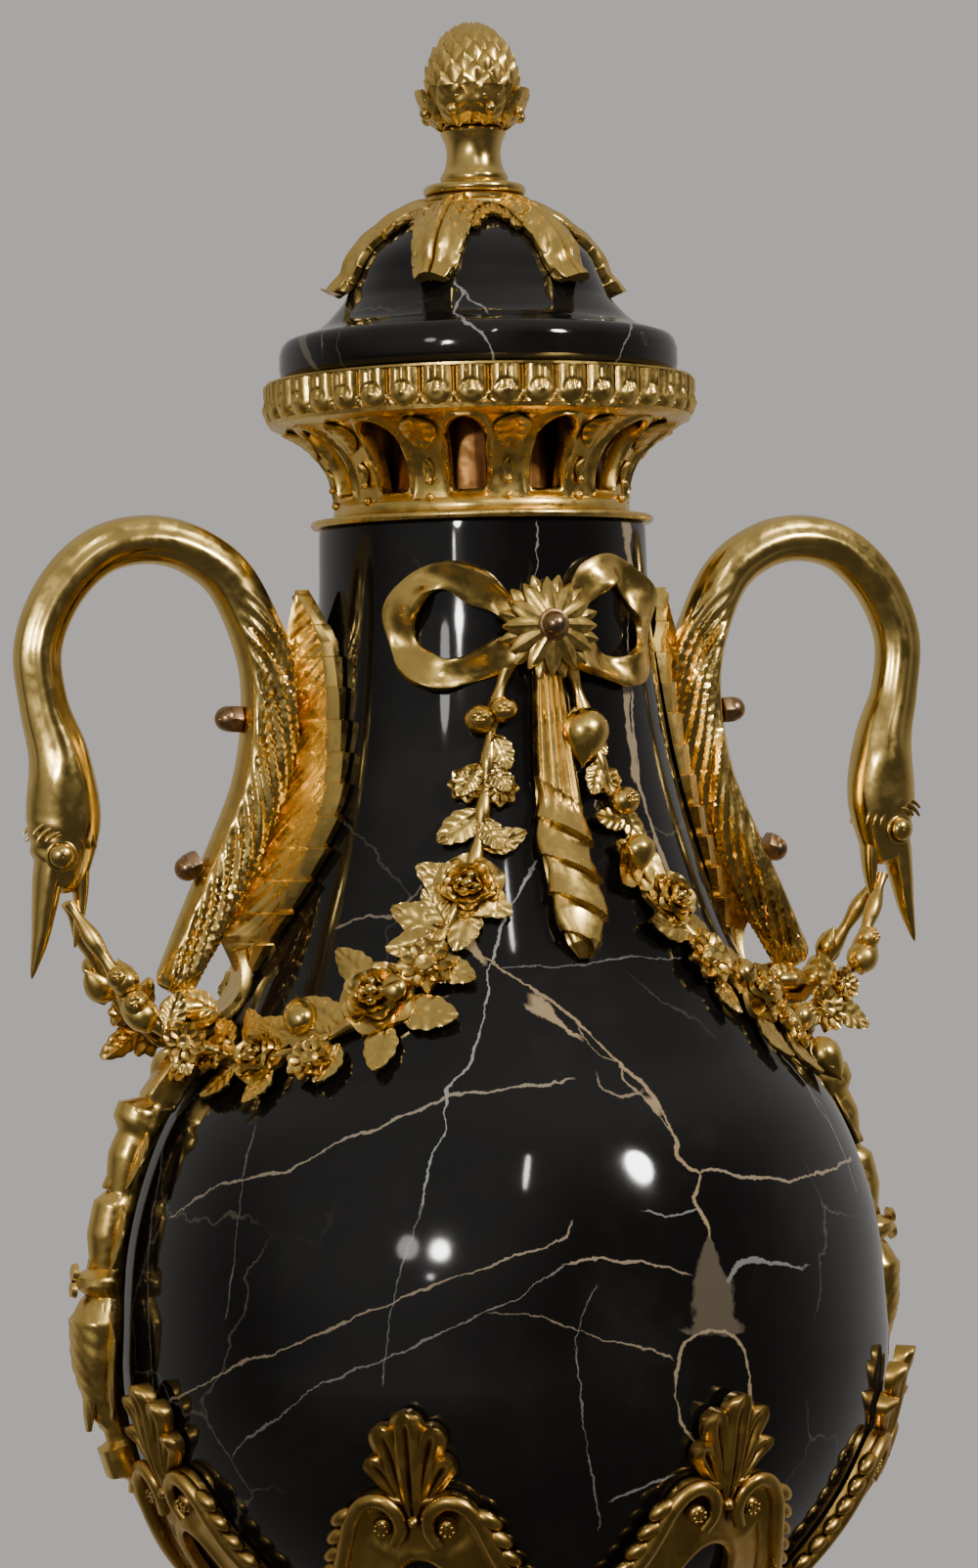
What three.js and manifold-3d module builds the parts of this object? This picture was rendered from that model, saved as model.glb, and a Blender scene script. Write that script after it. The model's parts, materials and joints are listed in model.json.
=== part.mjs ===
// Mantel urn: a lidded urn of black marble on a square plinth, mounted in gilt bronze with
// swan-neck handles, flower garlands, ribbon bows and a pierced gallery under the lid.
// Millimetres, +Z up. The origin is on the shelf, under the urn's axis. The front faces -Y and
// the handles lie in the XZ plane. An angle round the urn is in degrees from the front, toward +X.

import * as THREE from 'three';
import { mergeVertices } from 'three/addons/utils/BufferGeometryUtils.js';
import Module from 'manifold-3d';

const wasm = await Module();
wasm.setup();

const GAP = 0.3; // clearance kept between neighbouring pieces
const TAU = Math.PI * 2;
const SIDES = [{ name: 'left', sign: -1 }, { name: 'right', sign: 1 }];
const FACES = [{ name: 'front', angle: 0 }, { name: 'back', angle: 180 }];

// Stack of the stand, heights above the shelf
const FOOT = { radius: 12, height: 12, reach: 56 };
const BASE = { half: 74, bottom: FOOT.height + GAP, height: 12 };
const PLINTH = { half: 66, corner: 9, bottom: BASE.bottom + BASE.height + GAP, height: 35 };
const PLINTH_RING = { radius: 56, bottom: PLINTH.bottom + PLINTH.height + GAP, height: 9 };
const SOCLE = { foot: 51, top: 25, bottom: PLINTH_RING.bottom + PLINTH_RING.height + GAP, height: 34 };
const SOCLE_RING = { radius: 28, bottom: SOCLE.bottom + SOCLE.height + GAP, height: 6 };
const KNOP = { radius: 21, flange: 28, bottom: SOCLE_RING.bottom + SOCLE_RING.height + GAP };

// Marble body
const BODY = { bottom: 138, belly: 235, girth: 110.6, bowl: 99.8, lip: 465, neck: 46.6, wall: 10.4 };
const SHOULDER = [
  [BODY.belly, BODY.girth], [263, 108.6], [282, 104], [300, 96.3], [319, 83.2], [350, 67],
  [392, 54.3], [434, 47.9], [BODY.lip + 2, BODY.neck],
];

// Collar and lid. An opening's flare and nose are its widening at the spring and its narrowing at
// the top; start and depth are where the cut through the wall begins and how long it is
const LINER = { radius: 36, wall: 1.5, bottom: 440, top: 503, flange: 48.6, flangeTop: 467 };
const COLLAR = { foot: 42, band: 61.7, bottom: LINER.flangeTop + GAP, bandBottom: 494, top: 506.6 };
const OPENINGS = {
  count: 12, turn: 4.8, halfWidth: 5, sill: 473, spring: 483.5, rise: 4.6, flare: 0.8, nose: 0.62,
  start: 32, depth: 40,
};
const COLLAR_SEGMENTS = 24;
const TONGUES = { count: 40, groove: 1.3, depth: 6 };
const LID = { rim: 57, bottom: COLLAR.top + GAP, plug: 32.8, plugDrop: 6, wall: 7 };
const LEAVES = { count: 6, turn: 21.5, width: 15.5, thick: 1.8, stalk: 0.7, tip: [41.2, 532.6] };

// Swan handles, in the handle plane: distance from the axis, then height
const SWAN_LINE = [
  [93.8, 340], [85.6, 355.5], [77.3, 372.4], [68.5, 392.3], [65.1, 412.6], [66.6, 430], [75, 449.5],
  [87, 459], [100.5, 461.7], [114, 458], [125, 447], [131, 432], [129.5, 416], [125.4, 402],
  [124.8, 386], [125.2, 372],
];
const SWAN_GIRTH = [5.6, 6.9, 7.4, 7.9, 8, 7.7, 7.2, 6.9, 6.8, 6.8, 6.8, 6.8, 6.9, 8.6, 11.4, 7.4];
const NUT = { radius: 4, length: 7.5, heights: [411, 366], names: ['upper', 'lower'] };

const BOW = { height: 434, loopReach: 47.5, ribbon: 7, thick: 2.6, tail: 344 };
const ROSETTE = { radius: 14.5, petals: 12, lift: 6.2, height: 4 };
const CALYX = { count: 8, turn: 12, top: 233, bottom: 142, thick: 4 };

const finish = (color, roughness, metalness) => (
  new THREE.MeshStandardMaterial({ color, roughness, metalness }));
const gilt = (roughness) => finish(0xd9a441, roughness, 1);
const marble = () => finish(0x17161a, 0.12, 0);
const copper = () => finish(0x9c5f2c, 0.25, 1);
const brownBronze = () => finish(0x9a6a3c, 0.3, 1);

const urn = new THREE.Group();

function add(name, geometry, material) {
  const mesh = new THREE.Mesh(geometry, material);
  mesh.name = name;
  urn.add(mesh);
}

// ---------------------------------------------------------------- geometry helpers

// A closed geometry from points and triangles, turned so that its faces point outward
function closed(points, faces) {
  let volume = 0;
  const normal = new THREE.Vector3();
  for (let i = 0; i < faces.length; i += 3) {
    normal.crossVectors(points[faces[i + 1]], points[faces[i + 2]]);
    volume += points[faces[i]].dot(normal);
  }
  const geometry = new THREE.BufferGeometry().setFromPoints(points);
  geometry.setIndex(volume < 0 ? [...faces].reverse() : faces);
  return geometry;
}

// Shared vertices are merged and triangles that have shrunk to a line are dropped
function welded(geometry) {
  const plain = geometry.clone();
  plain.deleteAttribute('normal');
  plain.deleteAttribute('uv');
  const merged = mergeVertices(plain, 1e-3);
  const index = merged.index.array;
  const kept = [];
  for (let i = 0; i < index.length; i += 3) {
    const [a, b, c] = [index[i], index[i + 1], index[i + 2]];
    if (a !== b && b !== c && c !== a) kept.push(a, b, c);
  }
  merged.setIndex(kept);
  return merged;
}

function solidOf(geometry) {
  const mesh = welded(geometry);
  return new wasm.Manifold(new wasm.Mesh({
    numProp: 3,
    vertProperties: new Float32Array(mesh.attributes.position.array),
    triVerts: new Uint32Array(mesh.index.array),
  }));
}

function geometryOf(solid) {
  const mesh = solid.getMesh();
  const geometry = new THREE.BufferGeometry();
  geometry.setAttribute('position', new THREE.BufferAttribute(mesh.vertProperties, 3));
  geometry.setIndex(new THREE.BufferAttribute(mesh.triVerts, 1));
  return geometry;
}

const joined = (parts) => parts.map(solidOf).reduce((whole, part) => whole.add(part));
const join = (...parts) => geometryOf(joined(parts));

// A profile of [radius, height] pairs turned round the Z axis: outside upward, inside downward
function turned(profile, segments) {
  const points = profile.map(([radius, height]) => new THREE.Vector2(radius, height));
  return welded(new THREE.LatheGeometry(points, segments)).rotateX(Math.PI / 2);
}

// A skin over rings of points, with a fan at each end
function loft(rings) {
  const sides = rings[0].length;
  const points = rings.flat();
  const faces = [];
  for (let ring = 0; ring + 1 < rings.length; ring++) {
    for (let side = 0; side < sides; side++) {
      const a = ring * sides + side;
      const b = ring * sides + ((side + 1) % sides);
      faces.push(a, b, b + sides, a, b + sides, a + sides);
    }
  }
  for (const [first, flip] of [[0, true], [(rings.length - 1) * sides, false]]) {
    const middle = points.length;
    const centre = new THREE.Vector3();
    for (let side = 0; side < sides; side++) centre.addScaledVector(points[first + side], 1 / sides);
    points.push(centre);
    for (let side = 0; side < sides; side++) {
      const next = first + ((side + 1) % sides);
      faces.push(middle, flip ? next : first + side, flip ? first + side : next);
    }
  }
  return closed(points, faces);
}

// A skin over rings of points, the last joined to the first
function torus(rings) {
  const sides = rings[0].length;
  const faces = [];
  for (let ring = 0; ring < rings.length; ring++) {
    for (let side = 0; side < sides; side++) {
      const a = ring * sides + side;
      const b = ring * sides + ((side + 1) % sides);
      const c = ((ring + 1) % rings.length) * sides + ((side + 1) % sides);
      const d = ((ring + 1) % rings.length) * sides + side;
      faces.push(a, b, c, a, c, d);
    }
  }
  return closed(rings.flat(), faces);
}

// A ring of points in the plane of `across` and `out`; shape(i) gives [across, out] for side i
function ringAt(centre, across, out, sides, shape) {
  return Array.from({ length: sides }, (_, i) => {
    const [u, v] = shape(i);
    return centre.clone().addScaledVector(across, u).addScaledVector(out, v);
  });
}

const oval = (sides, halfWidth, halfDepth, turn = 0) => (i) => {
  const angle = (i / sides) * TAU + turn;
  return [halfWidth * Math.cos(angle), halfDepth * Math.sin(angle)];
};

// A rod of changing oval section along a curve; `out` gives the direction of its depth
function rod(curve, steps, sides, size, outAt, turn = 0) {
  const rings = [];
  for (let i = 0; i <= steps; i++) {
    const t = i / steps;
    const tangent = curve.getTangent(t);
    const across = new THREE.Vector3().crossVectors(tangent, outAt(t)).normalize();
    const out = new THREE.Vector3().crossVectors(across, tangent).normalize();
    const [halfWidth, halfDepth] = size(t);
    rings.push(ringAt(curve.getPoint(t), across, out, sides, oval(sides, halfWidth, halfDepth, turn)));
  }
  return loft(rings);
}

// A lobed or petalled boss lying on the local XY plane, domed toward +Z
function boss(radius, lobes, notch, height, crown = 0.45) {
  const count = lobes * 2;
  const ring = (scale, z) => Array.from({ length: count }, (_, i) => {
    const reach = radius * scale * (i % 2 ? notch : 1);
    const angle = (i / count) * TAU;
    return new THREE.Vector3(reach * Math.cos(angle), reach * Math.sin(angle), z);
  });
  const points = [...ring(1, height * 0.35), ...ring(crown, height)];
  points.push(new THREE.Vector3(0, 0, 0), new THREE.Vector3(0, 0, height * 0.85));
  const faces = [];
  for (let i = 0; i < count; i++) {
    const next = (i + 1) % count;
    faces.push(2 * count, next, i, i, next, count + next);
    faces.push(i, count + next, count + i, count + i, count + next, 2 * count + 1);
  }
  return closed(points, faces);
}

// ---------------------------------------------------------------- marble outline

// Smooth curve through [height, radius] pairs
function through(pairs) {
  const slope = pairs.map((_, i) => {
    const before = pairs[Math.max(i - 1, 0)];
    const after = pairs[Math.min(i + 1, pairs.length - 1)];
    return (after[1] - before[1]) / (after[0] - before[0]);
  });
  return (height) => {
    const last = pairs.length - 2;
    const above = pairs.findIndex((p) => p[0] > height);
    const i = above < 0 ? last : Math.max(above - 1, 0);
    const span = pairs[i + 1][0] - pairs[i][0];
    const t = (height - pairs[i][0]) / span;
    const s = 1 - t;
    return pairs[i][1] * (1 + 2 * t) * s * s + pairs[i + 1][1] * (3 - 2 * t) * t * t
      + span * (slope[i] * t * s * s - slope[i + 1] * t * t * s);
  };
}

const shoulder = through(SHOULDER);

function bodyRadius(height) {
  if (height >= BODY.belly) return shoulder(Math.min(height, BODY.lip));
  const drop = (BODY.belly - height) / BODY.bowl;
  return BODY.girth * Math.sqrt(1 - drop * drop);
}

const heading = (degrees) => {
  const a = THREE.MathUtils.degToRad(degrees);
  return new THREE.Vector3(Math.sin(a), -Math.cos(a), 0);
};
const sideways = (degrees) => heading(degrees + 90);

function bodyNormal(degrees, height) {
  const slope = (bodyRadius(height + 0.5) - bodyRadius(height - 0.5));
  return heading(degrees).addScaledVector(new THREE.Vector3(0, 0, 1), -slope).normalize();
}

function onBody(degrees, height, lift = 0) {
  const point = heading(degrees).multiplyScalar(bodyRadius(height)).setZ(height);
  return point.addScaledVector(bodyNormal(degrees, height), lift);
}

// Puts a shape made on the local XY plane onto the body: local X runs round it, Y up, Z outward
function laid(geometry, degrees, height, lift, spin = 0) {
  const normal = bodyNormal(degrees, height);
  const across = sideways(degrees);
  const up = new THREE.Vector3().crossVectors(normal, across);
  const frame = new THREE.Matrix4().makeBasis(across, up, normal);
  frame.setPosition(onBody(degrees, height, lift));
  return geometry.rotateZ(THREE.MathUtils.degToRad(spin)).applyMatrix4(frame);
}

const BODY_HEIGHTS = [138, 144, 156, 176, 204, 235, 266, 293, 315, 338, 362, 392, 428];
const BODY_SEGMENTS = 24;

function makeBody() {
  const outside = BODY_HEIGHTS.map((z) => [bodyRadius(z), z]);
  const inner = (z) => [bodyRadius(z) - BODY.wall, z];
  const inside = [390, 335, 300, 235, 180, 161].map(inner);
  const rim = [[BODY.neck, BODY.lip], [BODY.neck - BODY.wall + 0.5, BODY.lip]];
  return turned([[0, BODY.bottom], ...outside, ...rim, ...inside, [0, 151]], BODY_SEGMENTS);
}

// ---------------------------------------------------------------- stand

function ogee(half, bottom, height, steps) {
  const rings = steps.map(([inset, rise]) => {
    const reach = half - inset;
    const z = bottom + rise * height;
    const corners = [[-1, -1], [1, -1], [1, 1], [-1, 1]];
    return corners.map(([x, y]) => new THREE.Vector3(x * reach, y * reach, z));
  });
  return loft(rings);
}

function plinthBlock() {
  const { half, corner, height } = PLINTH;
  const outline = [];
  const notch = half - corner;
  for (let quarter = 0; quarter < 4; quarter++) {
    for (const [x, y] of [[notch, -half], [notch, -notch], [half, -notch]]) {
      outline.push(new THREE.Vector2(x, y).rotateAround(new THREE.Vector2(), (quarter * Math.PI) / 2));
    }
  }
  return new THREE.ExtrudeGeometry(new THREE.Shape(outline), { depth: height, bevelEnabled: false });
}

function makeStand() {
  const { radius, height, reach } = FOOT;
  const bun = [
    [0, 0], [radius * 0.7, 0], [radius, height * 0.4], [radius * 0.75, height], [0, height],
  ];
  for (const [row, y] of [['front', -1], ['back', 1]]) {
    for (const { name, sign } of SIDES) {
      const foot = turned(bun, 8).translate(sign * reach, y * reach, 0);
      add(`foot_${row}_${name}`, foot, gilt(0.25));
    }
  }
  const mould = ogee(BASE.half, BASE.bottom, BASE.height, [[0, 0], [0, 0.4], [3, 0.62], [5, 1]]);
  add('base_moulding', mould, gilt(0.25));
  add('plinth_block', plinthBlock().translate(0, 0, PLINTH.bottom), marble());
  const ring = PLINTH_RING;
  const bead = [
    [0, 0], [ring.radius - 2, 0], [ring.radius, 2.5], [ring.radius, 5.5],
    [ring.radius - 4, ring.height], [0, ring.height],
  ];
  add('plinth_ring', turned(bead, 16).translate(0, 0, ring.bottom), gilt(0.2));
  const waist = [
    [0, 0], [SOCLE.foot, 0], [SOCLE.foot, 4], [37, 9], [28.5, 17], [SOCLE.top, 29],
    [SOCLE.top, SOCLE.height], [0, SOCLE.height],
  ];
  add('socle', turned(waist, 16).translate(0, 0, SOCLE.bottom), marble());
  const band = SOCLE_RING;
  const hoop = [
    [0, 0], [band.radius - 1, 0], [band.radius, band.height / 2], [band.radius - 1, band.height],
    [0, band.height],
  ];
  add('socle_ring', turned(hoop, 16).translate(0, 0, band.bottom), gilt(0.2));
  const top = BODY.bottom - GAP - KNOP.bottom;
  const knop = [
    [0, 0], [17, 0], [14.5, 3], [KNOP.radius, 8.5], [KNOP.radius, 11.5], [15.5, 16],
    [KNOP.flange, top - 2.5], [KNOP.flange, top], [0, top],
  ];
  add('knop', turned(knop, 12).translate(0, 0, KNOP.bottom), gilt(0.2));
}

// ---------------------------------------------------------------- lower mount

// Top edge of one cartouche, half of it: degrees from its middle, height, thickness added there
const CARTOUCHE = [[0, 233, 1.6], [6.2, 225, 0.4], [8.6, 206, 1.2], [15, 187, 0.8], [22.5, 165, 0]];

// A cup that follows the marble's bowl, its top edge rising into a ring of cartouches
function makeCalyx() {
  const { count, turn, bottom, thick } = CALYX;
  const mirroredHalf = CARTOUCHE.slice(1, -1).map(([a, ...rest]) => [-a, ...rest]).reverse();
  const columns = [];
  for (let i = 0; i < count; i++) {
    for (const [offset, top, extra] of [...mirroredHalf, ...CARTOUCHE]) {
      columns.push([turn + (360 / count) * i + offset, top, extra]);
    }
  }
  const steep = (height) => Math.acos((BODY.belly - height) / BODY.bowl);
  const climb = (top, level) => (
    BODY.belly - BODY.bowl * Math.cos(THREE.MathUtils.lerp(steep(bottom), steep(top), level)));
  const levels = [0, 1 / 3, 2 / 3, 1];
  const stand = (level) => (level ? 3.6 : 2.2); // keeps the straight facets off the round marble
  const rings = levels.map((level) => columns.map(([degrees, top, extra]) => (
    onBody(degrees, climb(top, level), stand(level) + thick + extra * level))));
  const backs = levels.map((level) => columns.map(([degrees, top]) => (
    onBody(degrees, climb(top, level), stand(level)))));
  const skin = torus([...rings, ...backs.reverse()]);
  add('lower_calyx', skin, gilt(0.3));
}

// ---------------------------------------------------------------- collar, lid and finial

// A prism that cuts one arched opening through the collar's wall, widening toward its shoulders
function archTool(degrees) {
  const { halfWidth, sill, spring, rise, flare, nose, start, depth } = OPENINGS;
  const half = [[halfWidth, sill], [halfWidth + flare, spring], [halfWidth * nose, spring + rise]];
  const other = half.map(([x, z]) => [-x, z]).reverse();
  const outline = new THREE.Shape([...half, ...other].map(([x, z]) => new THREE.Vector2(x, z)));
  const tool = new THREE.ExtrudeGeometry(outline, { depth, bevelEnabled: false });
  const place = heading(degrees).multiplyScalar(start).toArray();
  return tool.rotateX(Math.PI / 2).rotateZ(THREE.MathUtils.degToRad(degrees)).translate(...place);
}

// Points round the axis; radiusOf(i) gives the distance of point i
const round = (count, radiusOf) => Array.from({ length: count }, (_, i) => {
  const angle = (i / count) * TAU;
  return new THREE.Vector2(radiusOf(i) * Math.sin(angle), -radiusOf(i) * Math.cos(angle));
});

// The band of tongues, a groove between each two
function tongueBand() {
  const { band, bandBottom, top } = COLLAR;
  const { count, groove, depth } = TONGUES;
  const outline = new THREE.Shape(round(count * 2, (i) => (i % 2 ? band - groove : band)));
  outline.holes.push(new THREE.Path(round(COLLAR_SEGMENTS, () => band - depth).reverse()));
  const ring = new THREE.ExtrudeGeometry(outline, { depth: top - bandBottom, bevelEnabled: false });
  return ring.translate(0, 0, bandBottom);
}

function makeCollar() {
  const { foot, bottom, top } = COLLAR;
  const outside = [[foot, bottom], [foot - 0.6, 472], [46.6, 488.4], [58, 494.2], [58, top]];
  const inside = [
    [37.2, top], [37.2, top - 3], [53, top - 3], [43.8, 490], [38.3, 472.4], [38.3, bottom],
  ];
  const facet = 360 / COLLAR_SEGMENTS;
  const shell = turned([...outside, ...inside, [foot, bottom]], COLLAR_SEGMENTS);
  shell.rotateZ(THREE.MathUtils.degToRad(OPENINGS.turn - facet / 2));
  const tools = [];
  for (let i = 0; i < OPENINGS.count; i++) {
    tools.push(archTool(OPENINGS.turn + (360 / OPENINGS.count) * i));
  }
  const pierced = solidOf(shell).subtract(joined(tools));
  add('gallery_collar', geometryOf(pierced.add(solidOf(tongueBand()))), gilt(0.22));
  const { radius, wall, flange, flangeTop } = LINER;
  const outer = [
    [radius, LINER.bottom], [radius, BODY.lip + GAP], [flange, BODY.lip + GAP], [flange, flangeTop],
    [radius, flangeTop], [radius, LINER.top],
  ];
  const bore = [[radius - wall, LINER.top], [radius - wall, LINER.bottom], outer[0]];
  add('collar_liner', turned([...outer, ...bore], 12), copper());
}

const DOME = [[47.5, 521], [41.8, 525.4], [38, 530], [35.9, 535], [31.5, 543.5], [20, 552.4]];

function makeLid() {
  const { rim, bottom, plug, plugDrop, wall } = LID;
  const edge = [[rim - 3, bottom], [rim, bottom + 3], [rim, 515.5], [53.6, 519]];
  const inside = [[0, 546.5], [14, 545], [DOME[3][0] - wall, 535], [plug - 3.5, bottom - plugDrop]];
  const foot = [[plug, bottom - plugDrop], [plug, bottom]];
  add('lid', turned([...inside, ...foot, ...edge, ...DOME, [0, 555]], 20), marble());
}

// Outline of the dome where the leaves lie, from their curled tips up to the middle
const domeLine = [...DOME.slice(2), [8, 555.4]];
const domeCurve = new THREE.SplineCurve(domeLine.map((p) => new THREE.Vector2(...p)));

function capLeaf(degrees) {
  const out = heading(degrees);
  const across = sideways(degrees);
  const section = (halfWidth, edge, spine, under) => (i) => (
    [[-halfWidth, edge], [0, under], [halfWidth, edge], [0, spine]][i]);
  // Place along the dome, half width and lift off the marble, from the stalk to the curled end
  const stations = [
    [0.9, 4.4, 1.1], [0.72, 6.6, 1.8], [0.48, LEAVES.width / 2, 2.1], [0.22, LEAVES.width / 2.1, 2.3],
    [0.04, 5.4, 3.2],
  ];
  const rings = stations.map(([t, halfWidth, lift]) => {
    const at = domeCurve.getPoint(t);
    const slope = domeCurve.getTangent(t);
    const normal = out.clone().multiplyScalar(slope.y).setZ(-slope.x).normalize();
    const centre = out.clone().multiplyScalar(at.x).setZ(at.y).addScaledVector(normal, lift);
    const spine = t > 0.8 ? LEAVES.stalk : LEAVES.thick;
    return ringAt(centre, across, normal, 4, section(halfWidth, 0, spine, -LEAVES.thick / 2.5));
  });
  const tip = out.clone().multiplyScalar(LEAVES.tip[0]).setZ(LEAVES.tip[1]);
  rings.push(ringAt(tip, across, new THREE.Vector3(0, 0, 1), 4, section(1.6, 0, 1, -1)));
  return loft(rings);
}

function makeFinial() {
  const hub = turned([[0, 555.4], [13, 555.4], [15.5, 554.9], [14.5, 557], [0, 557]], 9);
  const leaves = [];
  for (let i = 0; i < LEAVES.count; i++) {
    leaves.push(capLeaf(LEAVES.turn + (360 / LEAVES.count) * i));
  }
  add('acanthus_cap', join(hub, ...leaves), gilt(0.3));
  const stem = [
    [0, 557.3], [17.2, 557.3], [17.2, 559], [14, 559.8], [14, 562.4], [9.4, 565], [7.8, 571],
    [9.3, 577.5], [8.6, 579], [0, 579],
  ];
  add('finial_stem', turned(stem, 10), gilt(0.2));
  const tips = boss(16.5, 8, 0.72, 10, 0.6).translate(0, 0, 581.5);
  const cone = [
    [0, 579.3], [8, 579.3], [12, 586], [12.4, 593], [10.9, 597.5], [9.4, 602], [5.4, 606.8],
    [0, 609.6],
  ];
  add('pinecone', join(tips, turned(cone, 8)), gilt(0.3));
}

// ---------------------------------------------------------------- handles and side mounts

const swanCurve = new THREE.CatmullRomCurve3(SWAN_LINE.map(([r, z]) => new THREE.Vector3(r, 0, z)));
const girthCurve = through(SWAN_GIRTH.map((girth, i) => [i / (SWAN_GIRTH.length - 1), girth]));

// Curve parameter of the swan's body at a height, below the arch
function swanAt(height) {
  let low = 0;
  let high = 0.42;
  for (let i = 0; i < 24; i++) {
    const middle = (low + high) / 2;
    if (swanCurve.getPoint(middle).z < height) low = middle;
    else high = middle;
  }
  return low;
}

function mandible(stations) {
  const across = new THREE.Vector3(0, 1, 0);
  const out = new THREE.Vector3(1, 0, 0);
  return loft(stations.map(([r, z, halfWidth, halfDepth]) => (
    ringAt(new THREE.Vector3(r, 0, z), across, out, 4, oval(4, halfWidth, halfDepth)))));
}

function swan() {
  const steps = 18;
  const sides = 8;
  const y = new THREE.Vector3(0, 1, 0);
  const rings = [];
  for (let i = 0; i <= steps; i++) {
    const t = i / steps;
    const out = new THREE.Vector3().crossVectors(swanCurve.getTangent(t), y).normalize();
    const girth = girthCurve(t);
    const flute = t < 0.38 ? 0.9 : 0; // the body's twisted feathers, smooth on the neck
    const width = t > 0.86 ? girth * 0.82 : girth;
    const twist = t < 0.4 ? t * 7 : 2.8;
    rings.push(ringAt(swanCurve.getPoint(t), y, out, sides, (side) => {
      const [u, v] = oval(sides, width, girth, twist)(side);
      const scale = side % 2 ? 1 - flute / girth : 1;
      return [u * scale, v * scale];
    }));
  }
  const tip = swanCurve.getPoint(0).addScaledVector(swanCurve.getTangent(0), -3.6);
  const out0 = new THREE.Vector3().crossVectors(swanCurve.getTangent(0), y).normalize();
  rings.unshift(ringAt(tip, y, out0, sides, oval(sides, 3.4, 3.4)));
  const upper = mandible([
    [128, 374, 5.4, 4.6], [130.4, 364, 4.6, 3.4], [132.2, 352, 2.8, 2.2], [134.8, 341, 0.8, 0.6],
  ]);
  const lower = mandible([
    [121.6, 374, 4.6, 3.6], [120.8, 364, 3.8, 2.2], [121.4, 357, 2.8, 1.5], [122.5, 349.5, 0.7, 0.6],
  ]);
  const eyes = [-1, 1].map((side) => (
    new THREE.IcosahedronGeometry(4, 0).scale(1, 0.7, 1).translate(127, side * 7.6, 377)));
  return join(loft(rings), upper, lower, ...eyes);
}

// Half width of the wing plate at a height, its serrated edge worked in afterwards
const wingWidth = through([
  [340, 4], [350, 9.5], [361, 17], [376, 22.5], [388, 24], [405, 20], [422, 15], [436, 9], [447.5, 1.2],
]);

function keelRadius(height) {
  if (height > 432) return THREE.MathUtils.lerp(57, 53.5, (height - 432) / 15);
  const t = swanAt(Math.max(height, 341));
  const tangent = swanCurve.getTangent(t);
  return swanCurve.getPoint(t).x - (girthCurve(t) + GAP + 1.2) / Math.abs(tangent.z);
}

const WING = { bottom: 341, top: 447, rows: 13 };

function wingPlate() {
  const { rows } = WING;
  const rings = [];
  for (let i = 0; i < rows; i++) {
    const height = THREE.MathUtils.lerp(WING.bottom, WING.top, i / (rows - 1));
    const marbleRadius = bodyRadius(height);
    const halfWidth = wingWidth(height) * (i % 2 ? 1.05 : 0.95);
    const spread = THREE.MathUtils.radToDeg(halfWidth / marbleRadius);
    const foot = 3.2 + 0.9 * (height - WING.bottom); // the keel rises from the scroll at the foot
    const keel = Math.min(keelRadius(height), marbleRadius + foot);
    const edge = Math.max(marbleRadius + 1.1, keel - 0.6 - 0.5 * (WING.top - height));
    rings.push([[-1, 2], [0, 0], [1, 2], [1, 0], [0, -2], [-1, 0]].map(([k, rise]) => {
      const radius = k ? edge + rise : keel + rise;
      return heading(90 + k * spread).multiplyScalar(radius).setZ(height);
    }));
  }
  const line = [[76, 346], [75.8, 338.5], [80.5, 331.5], [87.5, 327.5], [94, 326.5], [97.5, 329.5]];
  const curl = new THREE.CatmullRomCurve3(line.map(([r, z]) => new THREE.Vector3(r, 0, z)));
  const out = (t) => new THREE.Vector3().crossVectors(curl.getTangent(t), new THREE.Vector3(0, 1, 0));
  const scroll = rod(curl, 6, 4, () => [7, 2.4], out, Math.PI / 4);
  return join(loft(rings), scroll);
}

// The ornament hanging down each side, from its strap to its tip: height, half depth, half width
const DROP_STATIONS = [
  [319, 4.4, 4.2], [301, 5, 4.6], [296, 7.4, 6.4], [288, 7.6, 7], [279, 6, 5.4], [276, 7.6, 7],
  [261, 6.4, 5.6], [257, 7.4, 6.6], [253, 6.6, 6.2], [245, 7.6, 8.4], [230, 6.4, 7], [216, 4, 4],
  [213, 5, 5], [206, 4.8, 4.8], [204.5, 2.6, 2.6], [198, 1, 1],
];
const DROP_LIFT = 1.6; // clearance of the ornament off the marble, over the facets' edges

function sideDrop(sign) {
  const rings = DROP_STATIONS.map(([height, halfDepth, halfWidth]) => {
    const centre = onBody(sign * 90, height, halfDepth + DROP_LIFT);
    return ringAt(centre, new THREE.Vector3(0, 1, 0), bodyNormal(sign * 90, height), 6,
      oval(6, halfWidth, halfDepth, TAU / 12));
  });
  return loft(rings);
}

function acornNut() {
  const { radius, length } = NUT;
  return turned([[0, 0], [radius, 0], [radius, 2.6], [radius * 0.92, 5], [0, length]], 6);
}

function mirrored(geometry, sign) {
  if (sign > 0) return geometry;
  const flipped = geometry.clone().scale(-1, 1, 1);
  flipped.setIndex([...flipped.index.array].reverse());
  return flipped;
}

function makeSides() {
  for (const { name, sign } of SIDES) {
    add(`swan_handle_${name}`, mirrored(swan(), sign), gilt(0.2));
    add(`wing_plate_${name}`, mirrored(wingPlate(), sign), gilt(0.3));
    add(`side_drop_${name}`, sideDrop(sign), gilt(0.3));
    NUT.heights.forEach((height, i) => {
      const t = swanAt(height);
      const tangent = swanCurve.getTangent(t);
      const out = new THREE.Vector3(tangent.z, 0, -tangent.x);
      const base = swanCurve.getPoint(t).addScaledVector(out, girthCurve(t) + GAP);
      const nut = acornNut().applyQuaternion(
        new THREE.Quaternion().setFromUnitVectors(new THREE.Vector3(0, 0, 1), out));
      const placed = mirrored(nut.translate(...base.toArray()), sign);
      add(`handle_nut_${NUT.names[i]}_${name}`, placed, brownBronze());
    });
  }
}

// ---------------------------------------------------------------- bows and garlands

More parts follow.
